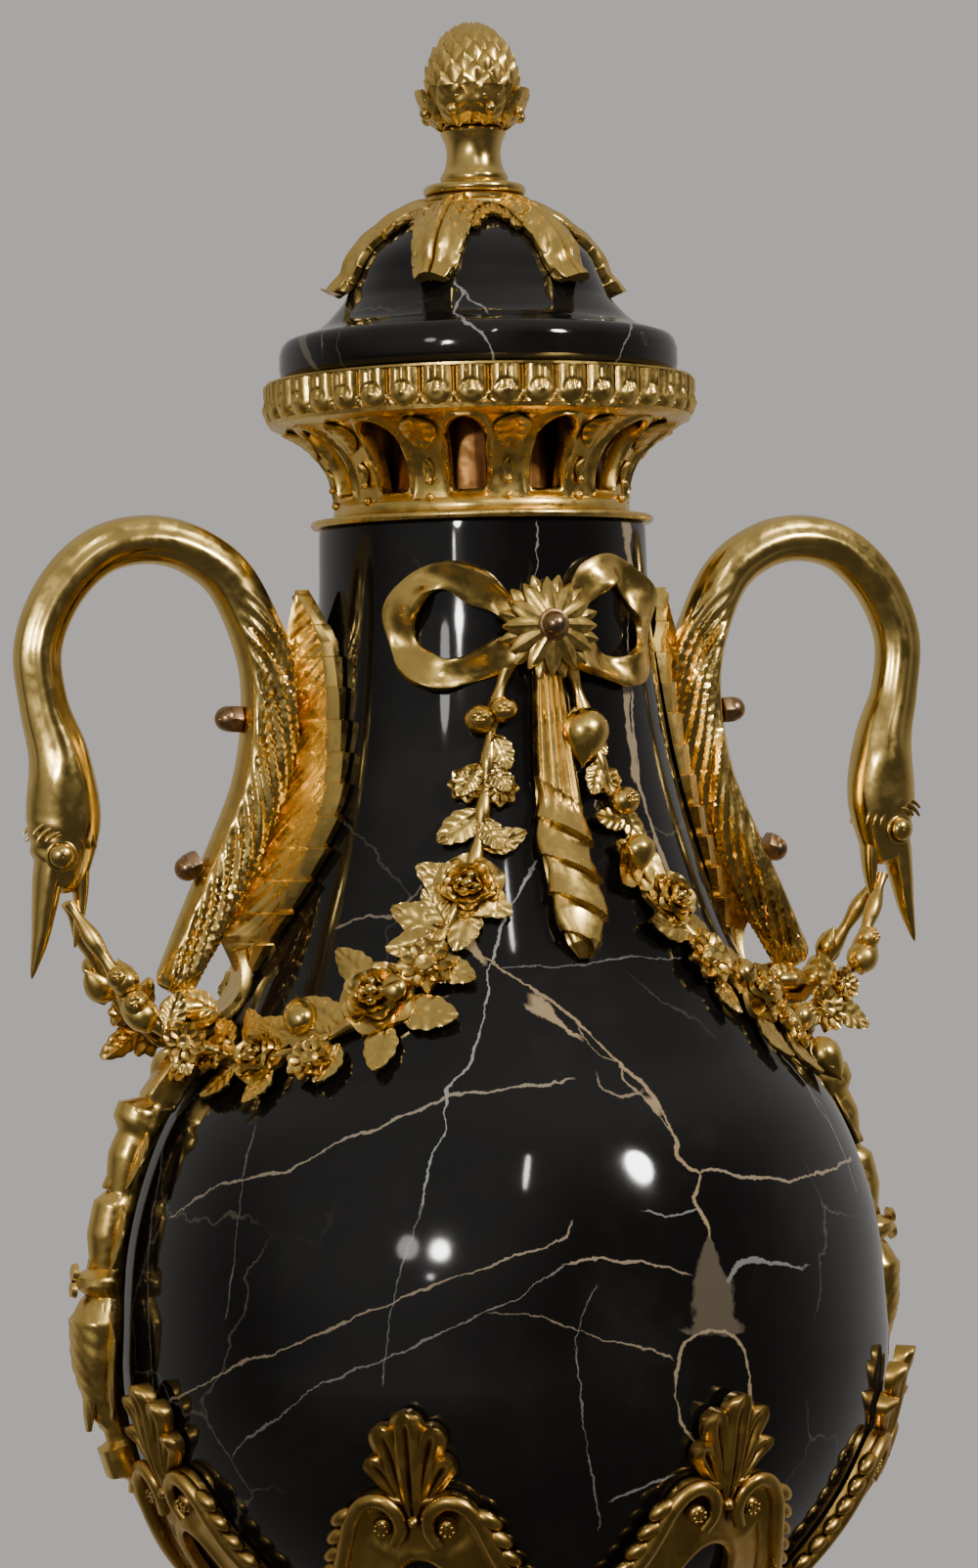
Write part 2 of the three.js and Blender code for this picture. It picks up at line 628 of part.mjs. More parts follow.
function bowLoop(middle, sign) {
  const { height, loopReach, ribbon, thick } = BOW;
  const line = [
    [3, -1], [13, 10.5], [25, 15.5], [37.5, 13], [loopReach, 2], [41, -9], [29, -14], [14, -9], [3, -1],
  ];
  const points = line.map(([turn, rise]) => (
    onBody(middle + sign * turn, height + rise, thick / 2 + 1.3)));
  const curve = new THREE.CatmullRomCurve3(points);
  const out = (t) => {
    const p = curve.getPoint(t);
    return new THREE.Vector3(p.x, p.y, 0).normalize();
  };
  return rod(curve, 10, 4, () => [ribbon / Math.SQRT2, thick / Math.SQRT2], out, Math.PI / 4);
}

function bowTail(middle) {
  const { height, tail } = BOW;
  // Place down the tail, half width, half depth and turn: flat above, wound to a cord below
  const stations = [
    [0, 4.2, 1.6, 0], [0.15, 4.6, 1.8, 0], [0.4, 5.4, 2, 0], [0.6, 6.2, 2.3, 0], [0.7, 6.6, 3, 0.35],
    [0.78, 5.4, 3.4, 0.7], [0.86, 6.2, 3.4, 1.05], [0.93, 4.6, 3, 1.4], [1, 3, 2, 1.75],
  ];
  return loft(stations.map(([t, halfWidth, halfDepth, twist]) => {
    const z = THREE.MathUtils.lerp(height - 4, tail, t);
    const degrees = middle + t * 1.5;
    return ringAt(onBody(degrees, z, halfDepth + 1), sideways(degrees), bodyNormal(degrees, z), 6,
      oval(6, halfWidth, halfDepth, twist));
  }));
}

function makeBow({ name, angle }) {
  const parts = [bowLoop(angle, -1), bowLoop(angle, 1), bowTail(angle)];
  const knot = laid(boss(8, 4, 0.9, 3.8, 0.7), angle, BOW.height, 0.8);
  add(`bow_${name}`, join(...parts, knot), gilt(0.25));
  const { radius, petals, height, lift } = ROSETTE;
  const flower = laid(boss(radius, petals, 0.7, height, 0.5), angle, BOW.height, lift);
  add(`bow_rosette_${name}`, flower, gilt(0.25));
  const nut = turned([[0, 0], [3.8, 0], [3.8, 1.6], [2.6, 3.8], [0, 4.6]], 8);
  add(`rosette_nut_${name}`, laid(nut, angle, BOW.height, lift + height + GAP), brownBronze());
}

// The swag: angle from the bow's middle, height and lift on the marble, then free to the beak
const SWAG = [
  [12, 418.5], [17, 406], [20.5, 389], [24.5, 374], [28, 360], [35.5, 343.5], [46, 331.5], [56, 320],
  [68, 316, 1.6], [80, 318, 4],
];
const SWAG_FREE = [[101, -11.5, 327], [113, -8, 340], [125.2, -2.6, 360.4]];

// Flowers on the swag: how far along it from 0 to 1, radius, half depth
const SWAG_FLOWERS = [
  [0.1, 4, 2.6], [0.21, 4, 2.6], [0.34, 7.6, 3.2], [0.46, 6.2, 3], [0.545, 9, 3.6], [0.63, 6.2, 3],
  [0.725, 7.6, 3.4], [0.85, 5, 3], [0.92, 4, 2.4],
];
// Leaves beside it: place, length, and which side of the swag they point to
const SWAG_LEAVES = [
  [0.16, 9, -1], [0.27, 12, 1], [0.4, 13, -1], [0.42, 12, 1], [0.5, 13, 1], [0.585, 14, -1],
  [0.6, 12, 1], [0.68, 12, -1], [0.76, 13, 1], [0.79, 12, -1], [0.88, 10, 1],
];
const LEAF_SPREAD = 4.5; // half width of a leaf at its root

// Half width of the garland at a place, on one side of its stem
function swagWidth(place, side, length) {
  let width = 1.7;
  for (const [middle, radius] of SWAG_FLOWERS) {
    const along = (place - middle) * length;
    if (Math.abs(along) < radius) width = Math.max(width, Math.sqrt(radius * radius - along * along));
  }
  for (const [middle, reach, leafSide] of SWAG_LEAVES) {
    const along = Math.abs(place - middle) * length;
    if (leafSide === side && along < LEAF_SPREAD) {
      width = Math.max(width, reach * (1 - along / LEAF_SPREAD));
    }
  }
  return width;
}

function swagDepth(place, length) {
  let depth = 1.5;
  for (const [middle, radius, halfDepth] of SWAG_FLOWERS) {
    const along = (place - middle) * length;
    if (Math.abs(along) < radius) {
      depth = Math.max(depth, halfDepth * Math.sqrt(1 - (along / radius) ** 2));
    }
  }
  return depth;
}

// One casting from the bow, down over the marble and up into the swan's beak
function garland(middle, sign) {
  const steps = 29;
  const points = SWAG.map(([turn, height, lift = 1]) => onBody(middle + sign * turn, height, lift));
  const facing = Math.cos(THREE.MathUtils.degToRad(middle));
  SWAG_FREE.forEach(([x, y, z]) => points.push(new THREE.Vector3(sign * facing * x, facing * y, z)));
  const curve = new THREE.CatmullRomCurve3(points);
  const length = curve.getLength();
  const rings = [];
  for (let i = 0; i <= steps; i++) {
    const place = i / steps;
    const at = curve.getPointAt(place);
    const level = Math.max(at.z, SWAG[SWAG.length - 2][1]);
    const degrees = THREE.MathUtils.radToDeg(Math.atan2(at.x, -at.y));
    const onMarble = Math.hypot(at.x, at.y) < bodyRadius(level) + 4;
    const freeOut = new THREE.Vector3(sign * facing * 0.4, -facing, 0.2);
    const facingOut = onMarble ? bodyNormal(degrees, level) : freeOut;
    const across = new THREE.Vector3().crossVectors(curve.getTangentAt(place), facingOut).normalize();
    const out = new THREE.Vector3().crossVectors(across, curve.getTangentAt(place)).normalize();
    const [left, right] = [-1, 1].map((side) => swagWidth(place, side, length));
    const depth = swagDepth(place, length);
    at.addScaledVector(out, depth * Math.min(1, (1 - place) / 0.16));
    const section = [
      [-left, -0.3], [-left * 0.5, -depth], [right * 0.5, -depth],
      [right, -0.3], [right * 0.45, depth], [-left * 0.45, depth],
    ];
    rings.push(ringAt(at, across, out, section.length, (i) => section[i]));
  }
  return loft(rings);
}

const SCREW = { radius: 3.65, height: 2.4, turn: 39.5, level: 335, lift: 8.6 };

function makeGarlands() {
  for (const { name, angle } of FACES) {
    for (const side of SIDES) {
      const turnSign = angle ? -side.sign : side.sign;
      const { radius, height, turn, level, lift } = SCREW;
      const head = turned([[0, 0], [radius, 0], [radius * 0.8, height * 0.75], [0, height]], 8);
      add(`garland_${name}_${side.name}`, garland(angle, turnSign), gilt(0.3));
      const screw = laid(head, angle + turnSign * turn, level, lift);
      add(`garland_screw_${name}_${side.name}`, screw, gilt(0.2));
    }
  }
}

// ---------------------------------------------------------------- assembly

makeStand();
makeCalyx();
add('vase_body', makeBody(), marble());
makeCollar();
makeLid();
makeFinial();
makeSides();
FACES.forEach(makeBow);
makeGarlands();

export default urn;
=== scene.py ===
"""The finished surfaces of a mantel urn: black marble with thin veins, mounted in gilt bronze.

Sizes are in millimetres and angles in degrees from the front, toward +X, unless a name says
otherwise. The stack of the solids comes from the frame, and each casting is modelled in place.
"""
import json
import logging
import math
from dataclasses import dataclass
from enum import Enum
from typing import Callable, Iterable, Sequence

import bpy
import numpy as np
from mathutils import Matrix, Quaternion, Vector

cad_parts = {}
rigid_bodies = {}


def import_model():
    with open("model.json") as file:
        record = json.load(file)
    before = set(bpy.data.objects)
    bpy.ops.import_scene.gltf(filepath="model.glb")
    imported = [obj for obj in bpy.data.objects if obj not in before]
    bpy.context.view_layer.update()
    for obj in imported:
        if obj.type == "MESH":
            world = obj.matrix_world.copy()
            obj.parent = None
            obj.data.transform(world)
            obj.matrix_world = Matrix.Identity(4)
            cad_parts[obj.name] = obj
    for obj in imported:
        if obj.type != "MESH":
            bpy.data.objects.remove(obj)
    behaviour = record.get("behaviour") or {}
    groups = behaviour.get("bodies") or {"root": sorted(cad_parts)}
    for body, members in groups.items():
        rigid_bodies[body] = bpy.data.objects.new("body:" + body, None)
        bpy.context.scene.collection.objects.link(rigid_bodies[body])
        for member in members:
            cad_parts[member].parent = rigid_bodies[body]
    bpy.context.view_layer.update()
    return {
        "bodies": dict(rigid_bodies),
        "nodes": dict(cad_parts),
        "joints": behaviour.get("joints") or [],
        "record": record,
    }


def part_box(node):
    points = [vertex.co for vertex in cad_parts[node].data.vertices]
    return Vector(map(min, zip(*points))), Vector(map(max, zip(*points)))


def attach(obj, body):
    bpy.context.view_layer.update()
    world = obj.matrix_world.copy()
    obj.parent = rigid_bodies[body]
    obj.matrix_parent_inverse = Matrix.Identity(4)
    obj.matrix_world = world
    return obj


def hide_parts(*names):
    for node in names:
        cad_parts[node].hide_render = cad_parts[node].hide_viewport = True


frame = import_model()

LOG = logging.getLogger("mantel_urn")
MM = 0.001
TAU = 2 * math.pi
Material = bpy.types.Material
Object = bpy.types.Object
Socket = bpy.types.NodeSocket
Mapping = Callable[[np.ndarray], np.ndarray]


# ---------------------------------------------------------------- small maths

def blend(low: float, high: float, value: np.ndarray) -> np.ndarray:
    """Goes smoothly from 0 at low to 1 at high."""
    t = np.clip((np.asarray(value, float) - low) / (high - low), 0, 1)
    return t * t * (3 - 2 * t)


def hump(value: np.ndarray, middle: float, width: float) -> np.ndarray:
    """A smooth ridge of height 1 at the middle."""
    return np.exp(-(((np.asarray(value, float) - middle) / width) ** 2))


def saw(value: np.ndarray) -> np.ndarray:
    """Climbs from 0 to 1 over each whole number and drops back."""
    return np.asarray(value, float) % 1.0


def unit(vector: Sequence[float]) -> np.ndarray:
    """The vector at length 1."""
    vector = np.asarray(vector, float)
    return vector / np.linalg.norm(vector)


def smooth_line(points: Sequence[Sequence[float]], count: int, closed: bool = False) -> np.ndarray:
    """A smooth curve through points, at even steps along it.

    Args:
        points: The points it passes, of any dimension.
        count: How many samples to return.
        closed: Whether it ends where it starts.

    Returns:
        An array of count points.
    """
    knots = np.asarray(points, float)
    if closed:
        knots = np.vstack([knots[-1], knots, knots[0], knots[1]])
    else:
        knots = np.vstack([2 * knots[0] - knots[1], knots, 2 * knots[-1] - knots[-2]])
    pieces = []
    for before, start, end, after in zip(knots, knots[1:], knots[2:], knots[3:]):
        t = np.linspace(0, 1, 24, endpoint=False)[:, None]
        pieces.append(
            0.5 * (2 * start + (end - before) * t + (2 * before - 5 * start + 4 * end - after) * t**2
                   + (3 * start - before - 3 * end + after) * t**3))
    line = np.vstack(pieces + [knots[-2][None]])
    length = np.r_[0, np.cumsum(np.linalg.norm(np.diff(line, axis=0), axis=1))]
    even = np.linspace(0, length[-1], count)
    return np.stack([np.interp(even, length, line[:, i]) for i in range(line.shape[1])], axis=1)


def tangents(line: np.ndarray, closed: bool = False) -> np.ndarray:
    """Unit directions along a line of points."""
    if closed:
        step = np.roll(line, -1, axis=0) - np.roll(line, 1, axis=0)
    else:
        step = np.gradient(line, axis=0)
    return step / np.linalg.norm(step, axis=1, keepdims=True)


# ---------------------------------------------------------------- castings

class Casting:
    """Closed shells gathered into one mesh, as a founder joins cast parts."""

    def __init__(self) -> None:
        """Starts empty."""
        self.points: list[np.ndarray] = []
        self.faces: list[np.ndarray] = []
        self.count = 0

    def shell(self, points: np.ndarray, faces: np.ndarray) -> "Casting":
        """Adds one closed shell, turned so that its faces point outward.

        Args:
            points: Corner positions.
            faces: Rows of four corner numbers; a triangle repeats its last one.

        Returns:
            This casting.
        """
        points = np.asarray(points, float).reshape(-1, 3)
        a, b, c, d = (points[faces[:, i]] for i in range(4))
        middle = points.mean(axis=0)
        volume = np.einsum("ij,ij->i", a - middle, np.cross(b - middle, c - middle))
        volume += np.einsum("ij,ij->i", a - middle, np.cross(c - middle, d - middle))
        if volume.sum() < 0:
            faces = faces[:, ::-1]
        self.points.append(points)
        self.faces.append(faces + self.count)
        self.count += len(points)
        return self

    def sheet(self, top: np.ndarray, bottom: np.ndarray) -> "Casting":
        """Adds a thick sheet between two grids of points of the same shape."""
        rows, columns = top.shape[:2]
        number = np.arange(rows * columns).reshape(rows, columns)
        quads = np.stack(
            [number[:-1, :-1], number[:-1, 1:], number[1:, 1:], number[1:, :-1]], axis=-1).reshape(-1, 4)
        rim = np.concatenate([number[0, :-1], number[:-1, -1], number[-1, :0:-1], number[:0:-1, 0]])
        after = np.roll(rim, -1)
        size = rows * columns
        edge = np.stack([rim, rim + size, after + size, after], axis=-1)
        return self.shell(
            np.concatenate([top.reshape(-1, 3), bottom.reshape(-1, 3)]),
            np.concatenate([quads, quads[:, ::-1] + size, edge]))

    def tube(self, rings: np.ndarray, looped: bool = False) -> "Casting":
        """Adds a skin over rings of points, closed at its ends, or on itself where looped."""
        rows, columns = rings.shape[:2]
        number = np.arange(rows * columns).reshape(rows, columns)
        around = np.roll(number, -1, axis=1)
        if looped:
            onward, onward_around = np.roll(number, -1, axis=0), np.roll(around, -1, axis=0)
            quads = np.stack([number, around, onward_around, onward], axis=-1).reshape(-1, 4)
            return self.shell(rings.reshape(-1, 3), quads)
        quads = np.stack([number[:-1], around[:-1], around[1:], number[1:]], axis=-1).reshape(-1, 4)
        size = rows * columns
        first, last = np.full(columns, size), np.full(columns, size + 1)
        start = np.stack([first, around[0], number[0], number[0]], axis=-1)
        end = np.stack([last, number[-1], around[-1], around[-1]], axis=-1)
        points = np.concatenate([rings.reshape(-1, 3), rings[0].mean(axis=0)[None],
                                 rings[-1].mean(axis=0)[None]])
        return self.shell(points, np.concatenate([quads, start, end]))

    def place(self, other: "Casting", *mappings: Mapping) -> "Casting":
        """Adds a copy of another casting, each of its shells moved by the mappings in turn."""
        offset = 0
        for points, faces in zip(other.points, other.faces):
            moved = points
            for mapping in mappings:
                moved = mapping(moved)
            self.shell(moved, faces - offset)
            offset += len(points)
        return self

    def build(self, name: str, crease: float = 40.0) -> Object:
        """Makes the mesh object.

        Args:
            name: The object's name.
            crease: Edges sharper than this many degrees stay sharp.

        Returns:
            The object, at the origin, in metres.
        """
        points = np.concatenate(self.points) * MM
        faces = np.concatenate(self.faces)
        mesh = bpy.data.meshes.new(name)
        polygons = [row[:3] if row[3] == row[2] else row for row in faces.tolist()]
        mesh.from_pydata(points.tolist(), [], polygons)
        thing = bpy.data.objects.new(name, mesh)
        bpy.context.scene.collection.objects.link(thing)
        only(thing)
        bpy.ops.object.shade_smooth_by_angle(angle=math.radians(crease))
        return thing


def only(thing: Object) -> None:
    """Makes one object the sole selected and active one."""
    bpy.ops.object.select_all(action="DESELECT")
    thing.select_set(True)
    bpy.context.view_layer.objects.active = thing


def moved(x: float = 0, y: float = 0, z: float = 0) -> Mapping:
    """Shifts points."""
    return lambda points: points + np.array([x, y, z])


def scaled(x: float, y: float | None = None, z: float | None = None) -> Mapping:
    """Scales points, evenly when only one factor is given."""
    factors = np.array([x, x if y is None else y, x if z is None else z])
    return lambda points: points * factors


def spun(degrees: float, axis: int = 2) -> Mapping:
    """Turns points about the X, Y or Z axis, counter-clockwise seen from its end."""
    angle = math.radians(degrees)
    first, second = [i for i in range(3) if i != axis]
    if axis == 1:
        first, second = second, first

    def turn(points: np.ndarray) -> np.ndarray:
        out = np.array(points, float)
        out[..., first] = points[..., first] * math.cos(angle) - points[..., second] * math.sin(angle)
        out[..., second] = points[..., first] * math.sin(angle) + points[..., second] * math.cos(angle)
        return out

    return turn


def set_at(origin: Sequence[float], up: Sequence[float], out: Sequence[float]) -> Mapping:
    """Puts local X, Y, Z along across, up and out at a place in the air.

    Args:
        origin: Where the local origin goes.
        up: Direction of local Y, made square to out.
        out: Direction of local Z.

    Returns:
        The mapping.
    """
    out = unit(out)
    across = unit(np.cross(up, out))
    up = np.cross(out, across)
    basis = np.stack([across, up, out])
    place = np.asarray(origin, float)
    return lambda points: points @ basis + place


def heading(degrees: np.ndarray) -> np.ndarray:
    """Level unit vectors at angles round the urn."""
    angle = np.radians(np.asarray(degrees, float))
    return np.stack([np.sin(angle), -np.cos(angle), np.zeros_like(angle)], axis=-1)


# ---------------------------------------------------------------- turned faces

class TurnedFace:
    """A surface of revolution that castings are laid on."""

    def __init__(self, radii: np.ndarray, heights: np.ndarray) -> None:
        """Keeps the outline, which rises all the way.

        Args:
            radii: Distance from the axis at each step.
            heights: Height at each step.
        """
        self.girth, self.height = np.asarray(radii, float), np.asarray(heights, float)
        reach, rise = np.gradient(self.girth), np.gradient(self.height)
        step = np.hypot(rise, reach)
        self.arc = np.cumsum(step)
        self.out, self.up = rise / step, -reach / step

    def radius(self, height: np.ndarray) -> np.ndarray:
        """Distance of the surface from the axis at a height."""
        return np.interp(height, self.height, self.girth)

    def wrap(self, points: np.ndarray, degrees: float, height: float) -> np.ndarray:
        """Lays flat work on the surface.

        Args:
            points: Local points: X round the axis, Y up along the surface, Z off it.
            degrees: Angle of the local origin.
            height: Height of the local origin.

        Returns:
            The points in place.
        """
        arc = np.interp(height, self.height, self.arc) + points[..., 1]
        z = np.interp(arc, self.arc, self.height)
        r = np.interp(arc, self.arc, self.girth)
        out, up = np.interp(arc, self.arc, self.out), np.interp(arc, self.arc, self.up)
        angle = degrees + np.degrees(points[..., 0] / np.maximum(r, 1.0))
        level = np.zeros_like(z)
        return heading(angle) * (r + out * points[..., 2])[..., None] + np.stack(
            [level, level, z + up * points[..., 2]], axis=-1)

    def skin(self, degrees: np.ndarray, height: np.ndarray, lift: np.ndarray) -> np.ndarray:
        """Points of the surface at angles and heights, raised off it by lift."""
        arc = np.interp(height, self.height, self.arc)
        reach = self.radius(height) + np.interp(arc, self.arc, self.out) * lift
        rise = np.interp(arc, self.arc, self.up) * lift
        level = np.zeros_like(reach)
        return heading(degrees) * reach[..., None] + np.stack([level, level, height + rise], axis=-1)

    def at(self, degrees: float, height: float, spin: float = 0.0, lift: float = 0.0) -> Mapping:
        """A mapping that lays a local shape on the surface, turned by spin and raised by lift."""
        turn, raised = spun(spin), moved(z=lift)
        return lambda points: self.wrap(raised(turn(points)), degrees, height)

    def point(self, degrees: float, height: float, lift: float = 0.0) -> np.ndarray:
        """One point on or off the surface."""
        return self.wrap(np.array([[0.0, 0.0, lift]]), degrees, height)[0]

    def outward(self, degrees: float, height: float) -> np.ndarray:
        """The surface's direction outward at a place."""
        return self.point(degrees, height, 1.0) - self.point(degrees, height)


BODY_BOTTOM, BODY_BELLY, BODY_LIP = 138.0, 235.0, 465.0
BODY_GIRTH, BODY_BOWL, BODY_WALL = 110.6, 99.8, 10.4
SHOULDER = (
    (235, 110.6), (263, 108.6), (282, 104), (300, 96.3), (319, 83.2), (350, 67), (392, 54.3),
    (434, 47.9), (467, 46.6))


def through(points: Sequence[Sequence[float]], where: np.ndarray) -> np.ndarray:
    """The smooth line through (place, value) points, read at the places asked for."""
    x, y = np.array(points, float).T
    slope = np.empty_like(y)
    slope[1:-1] = (y[2:] - y[:-2]) / (x[2:] - x[:-2])
    slope[0], slope[-1] = (y[1] - y[0]) / (x[1] - x[0]), (y[-1] - y[-2]) / (x[-1] - x[-2])
    i = np.clip(np.searchsorted(x, where, side="right") - 1, 0, len(x) - 2)
    span = x[i + 1] - x[i]
    t = (where - x[i]) / span
    s = 1 - t
    return (y[i] * (1 + 2 * t) * s * s + y[i + 1] * (3 - 2 * t) * t * t
            + span * (slope[i] * t * s * s - slope[i + 1] * t * t * s))


def body_face() -> TurnedFace:
    """The marble body: a bowl below the belly, and a shoulder drawn up into the neck."""
    drop = np.arccos(np.clip((BODY_BELLY - BODY_BOTTOM) / BODY_BOWL, -1, 1))
    bowl = np.linspace(drop, math.pi / 2, 400, endpoint=False)
    above = np.linspace(BODY_BELLY, BODY_LIP, 1000)
    radii = np.r_[BODY_GIRTH * np.sin(bowl), through(SHOULDER, above)]
    return TurnedFace(radii, np.r_[BODY_BELLY - BODY_BOWL * np.cos(bowl), above])


BODY = body_face()


# ---------------------------------------------------------------- ornament patterns

def grid(rows: int, columns: int) -> tuple[np.ndarray, np.ndarray]:
    """Two grids: 0 to 1 down the rows, -1 to 1 across the columns."""
    return np.meshgrid(np.linspace(0, 1, rows), np.linspace(-1, 1, columns), indexing="ij")


def turned(profile: Sequence[Sequence[float]], segments: int = 24) -> Casting:
    """A small turned piece round local Z, its profile of radius and height from pole to pole."""
    angle = np.arange(segments) / segments * TAU
    rings = np.array([[(max(r, 0.02) * math.cos(a), max(r, 0.02) * math.sin(a), z) for a in angle]
                      for r, z in profile])
    return Casting().tube(rings)


def bead(radius: float, sink: float = 0.0, segments: int = 14) -> Casting:
    """A round bead on the local plane, its lower part sunk into what it sits on."""
    steps = np.linspace(-0.5, 0.5, 9) * math.pi
    return turned([(radius * math.cos(a), radius * (1 + math.sin(a)) - sink) for a in steps], segments)


def leaf(length: float, width: float, curl: float = 0.0, cup: float = 0.25, veins: int = 5,
         teeth: int = 0, blunt: float = 0.0, thick: float = 1.1, rows: int = 22,
         columns: int = 13) -> Casting:
    """A cast leaf along local Y from its stalk, with a midrib and side veins.

    Args:
        length: From stalk to tip.
        width: Widest.
        curl: How far the tip rises off the plane.
        cup: How far the edges rise, as a share of the half width.
        veins: Side veins on each half.
        teeth: Notches along each edge.
        blunt: 0 for a pointed tip, 1 for a square one.
        thick: Thickness of the casting.
        rows: Steps along it.
        columns: Steps across it.

    Returns:
        The leaf.
    """
    u, v = grid(rows, columns)
    pointed = np.sin(math.pi * np.clip(u, 0.02, 0.985) ** 0.85) ** 0.8
    square = np.minimum(1, np.sin(math.pi * np.clip(u, 0.02, 0.5) ** 0.9)) * (1 - 0.25 * u**8)
    half = 0.5 * width * ((1 - blunt) * pointed + blunt * square)
    if teeth:
        half = half * (0.86 + 0.14 * np.abs(np.sin(math.pi * teeth * u)))
    half = np.maximum(half, 0.12)
    side = np.abs(v)
    wave = np.cos(TAU * (veins * (u - 0.22 * side)))
    height = cup * half * side**2 + curl * u**2.2
    height -= 0.55 * hump(v, 0, 0.13) * (1 - 0.6 * u)
    height += 0.42 * wave * side * (1 - side**6) * (half > 0.6)
    x = half * v
    top = np.stack([x, length * u, height + thick], axis=-1)
    bottom = np.stack([x * 0.96, length * u, height + thick * (0.15 + 0.5 * side**2)], axis=-1)
    return Casting().sheet(top, bottom)


def petal(length: float, width: float, tilt: float, cup: float = 0.5, groove: float = 0.25,
          roll: float = 0.0, thick: float = 0.7, rows: int = 11, columns: int = 9) -> Casting:
    """A round-ended petal along local Y, standing at a tilt off the plane.

    Args:
        length: From root to lip.
        width: Widest, near the lip.
        tilt: Degrees it stands off the plane.
        cup: How far its edges rise, as a share of the half width.
        groove: Depth of the line down its middle.
        roll: How far its lip turns over.
        thick: Thickness.
        rows: Steps along it.
        columns: Steps across it.

    Returns:
        The petal.
    """
    u, v = grid(rows, columns)
    half = 0.5 * width * np.maximum(np.sin(math.pi * np.clip(0.12 + 0.80 * u, 0, 0.96)) ** 0.6, 0.1)
    half = half * (0.55 + 0.45 * blend(0, 0.6, u))
    rise = cup * half * v**2 - groove * hump(v, 0, 0.25) * np.sin(math.pi * u) - roll * blend(0.7, 1, u)
    top = np.stack([half * v, length * u * (1 - 0.12 * v**2), rise + thick], axis=-1)
    bottom = top - np.array([0, 0, thick])
    return Casting().place(Casting().sheet(top, bottom), spun(tilt, 0))


def pointed_petal(length: float, width: float, rise: float, ridge: float) -> Casting:
    """A pointed, keeled petal with a groove on each side of its keel."""
    u, v = grid(12, 11)
    half = 0.5 * width * np.maximum(np.sin(math.pi * np.clip(0.1 + 0.88 * u, 0, 0.985)) ** 0.75, 0.04)
    keel = ridge * (1 - np.abs(v)) + 0.45 * ridge * hump(np.abs(v), 0.72, 0.2) * (1 - u)
    height = rise * (1 - u**1.6) + keel * (1 - 0.5 * u)
    top = np.stack([half * v, length * u, height], axis=-1)
    bottom = np.stack([half * v * 0.9, length * u, np.minimum(height - 0.8, rise * 0.2 + 0 * u)], axis=-1)
    return Casting().sheet(top, bottom)


def ring_of(pattern: Casting, count: int, reach: float = 0.0, turn: float = 0.0,
            lift: float = 0.0) -> Casting:
    """Copies of a pattern in a ring about local Z, each pointing outward."""
    whole = Casting()
    for i in range(count):
        whole.place(pattern, moved(y=reach, z=lift), spun(turn + 360.0 * i / count))
    return whole


def rose(radius: float) -> Casting:
    """An open rose: broad rolled petals in three rows round a knot of beads."""
    whole = Casting()
    outer = petal(radius * 0.98, radius * 1.4, 9, cup=0.3, groove=0.6, roll=0.10 * radius, thick=1.6)
    middle = petal(radius * 0.74, radius * 1.1, 26, cup=0.5, groove=0.4, roll=0.1 * radius, thick=1.4)
    inner = petal(radius * 0.5, radius * 0.8, 44, cup=0.8, groove=0.2, thick=1.1)
    whole.place(ring_of(outer, 5, 0.05 * radius))
    whole.place(ring_of(middle, 5, 0.04 * radius, turn=36, lift=0.16 * radius))
    whole.place(ring_of(inner, 3, 0.02 * radius, turn=10, lift=0.26 * radius))
    whole.place(ring_of(bead(radius * 0.15), 4, radius * 0.26, turn=20, lift=0.42 * radius))
    whole.place(bead(radius * 0.17), moved(z=0.46 * radius))
    core = turned([(0, 0), (radius * 0.6, 0), (radius * 0.52, radius * 0.3), (radius * 0.3, radius * 0.42),
                   (0, radius * 0.45)], 16)
    return whole.place(core)


def daisy(radius: float, petals: int = 8) -> Casting:
    """A flat flower with spoon-shaped petals round a pitted button."""
    whole = ring_of(petal(radius * 0.78, radius * 0.76, 10, cup=0.4, groove=0.45, thick=1.5), petals,
                    radius * 0.2, lift=0.5)
    button = turned([(0, 0), (radius * 0.42, 0), (radius * 0.4, radius * 0.36), (radius * 0.26, radius * 0.5),
                     (radius * 0.1, radius * 0.46), (0, radius * 0.4)], 18)
    whole.place(button)
    whole.place(ring_of(bead(radius * 0.09), 7, radius * 0.3, lift=0.3 * radius))
    return whole


def bud(length: float, radius: float) -> Casting:
    """A closed bud along local Y with three sepals on it."""
    steps = np.linspace(0, 1, 12)
    profile = [(radius * math.sin(math.pi * min(t + 0.06, 1) ** 0.8) ** 0.8, length * t) for t in steps]
    whole = Casting().place(turned(profile, 16), spun(-90, 0), moved(z=radius * 0.7))
    sepal = leaf(length * 0.72, radius * 1.1, cup=-0.4, veins=2, thick=0.8, rows=10, columns=7)
    for turn in (-38, 0, 38):
        whole.place(sepal, spun(4, 0), moved(z=radius * 0.75), spun(turn, 1))
    return whole


def ribbed_cord(line: np.ndarray, radii: np.ndarray, out: np.ndarray, sides: int = 12,
                flat: float = 1.0) -> Casting:
    """A rod along a line of points with its own radius at each, flattened toward out."""
    along = tangents(line)
    across = np.cross(along, out)
    across /= np.linalg.norm(across, axis=1, keepdims=True)
    normal = np.cross(across, along)
    angle = np.arange(sides) / sides * TAU
    rings = (line[:, None] + radii[:, None, None] * (
        np.cos(angle)[None, :, None] * across[:, None]
        + flat * np.sin(angle)[None, :, None] * normal[:, None]))
    return Casting().tube(rings)


# ---------------------------------------------------------------- lathe work and bench work

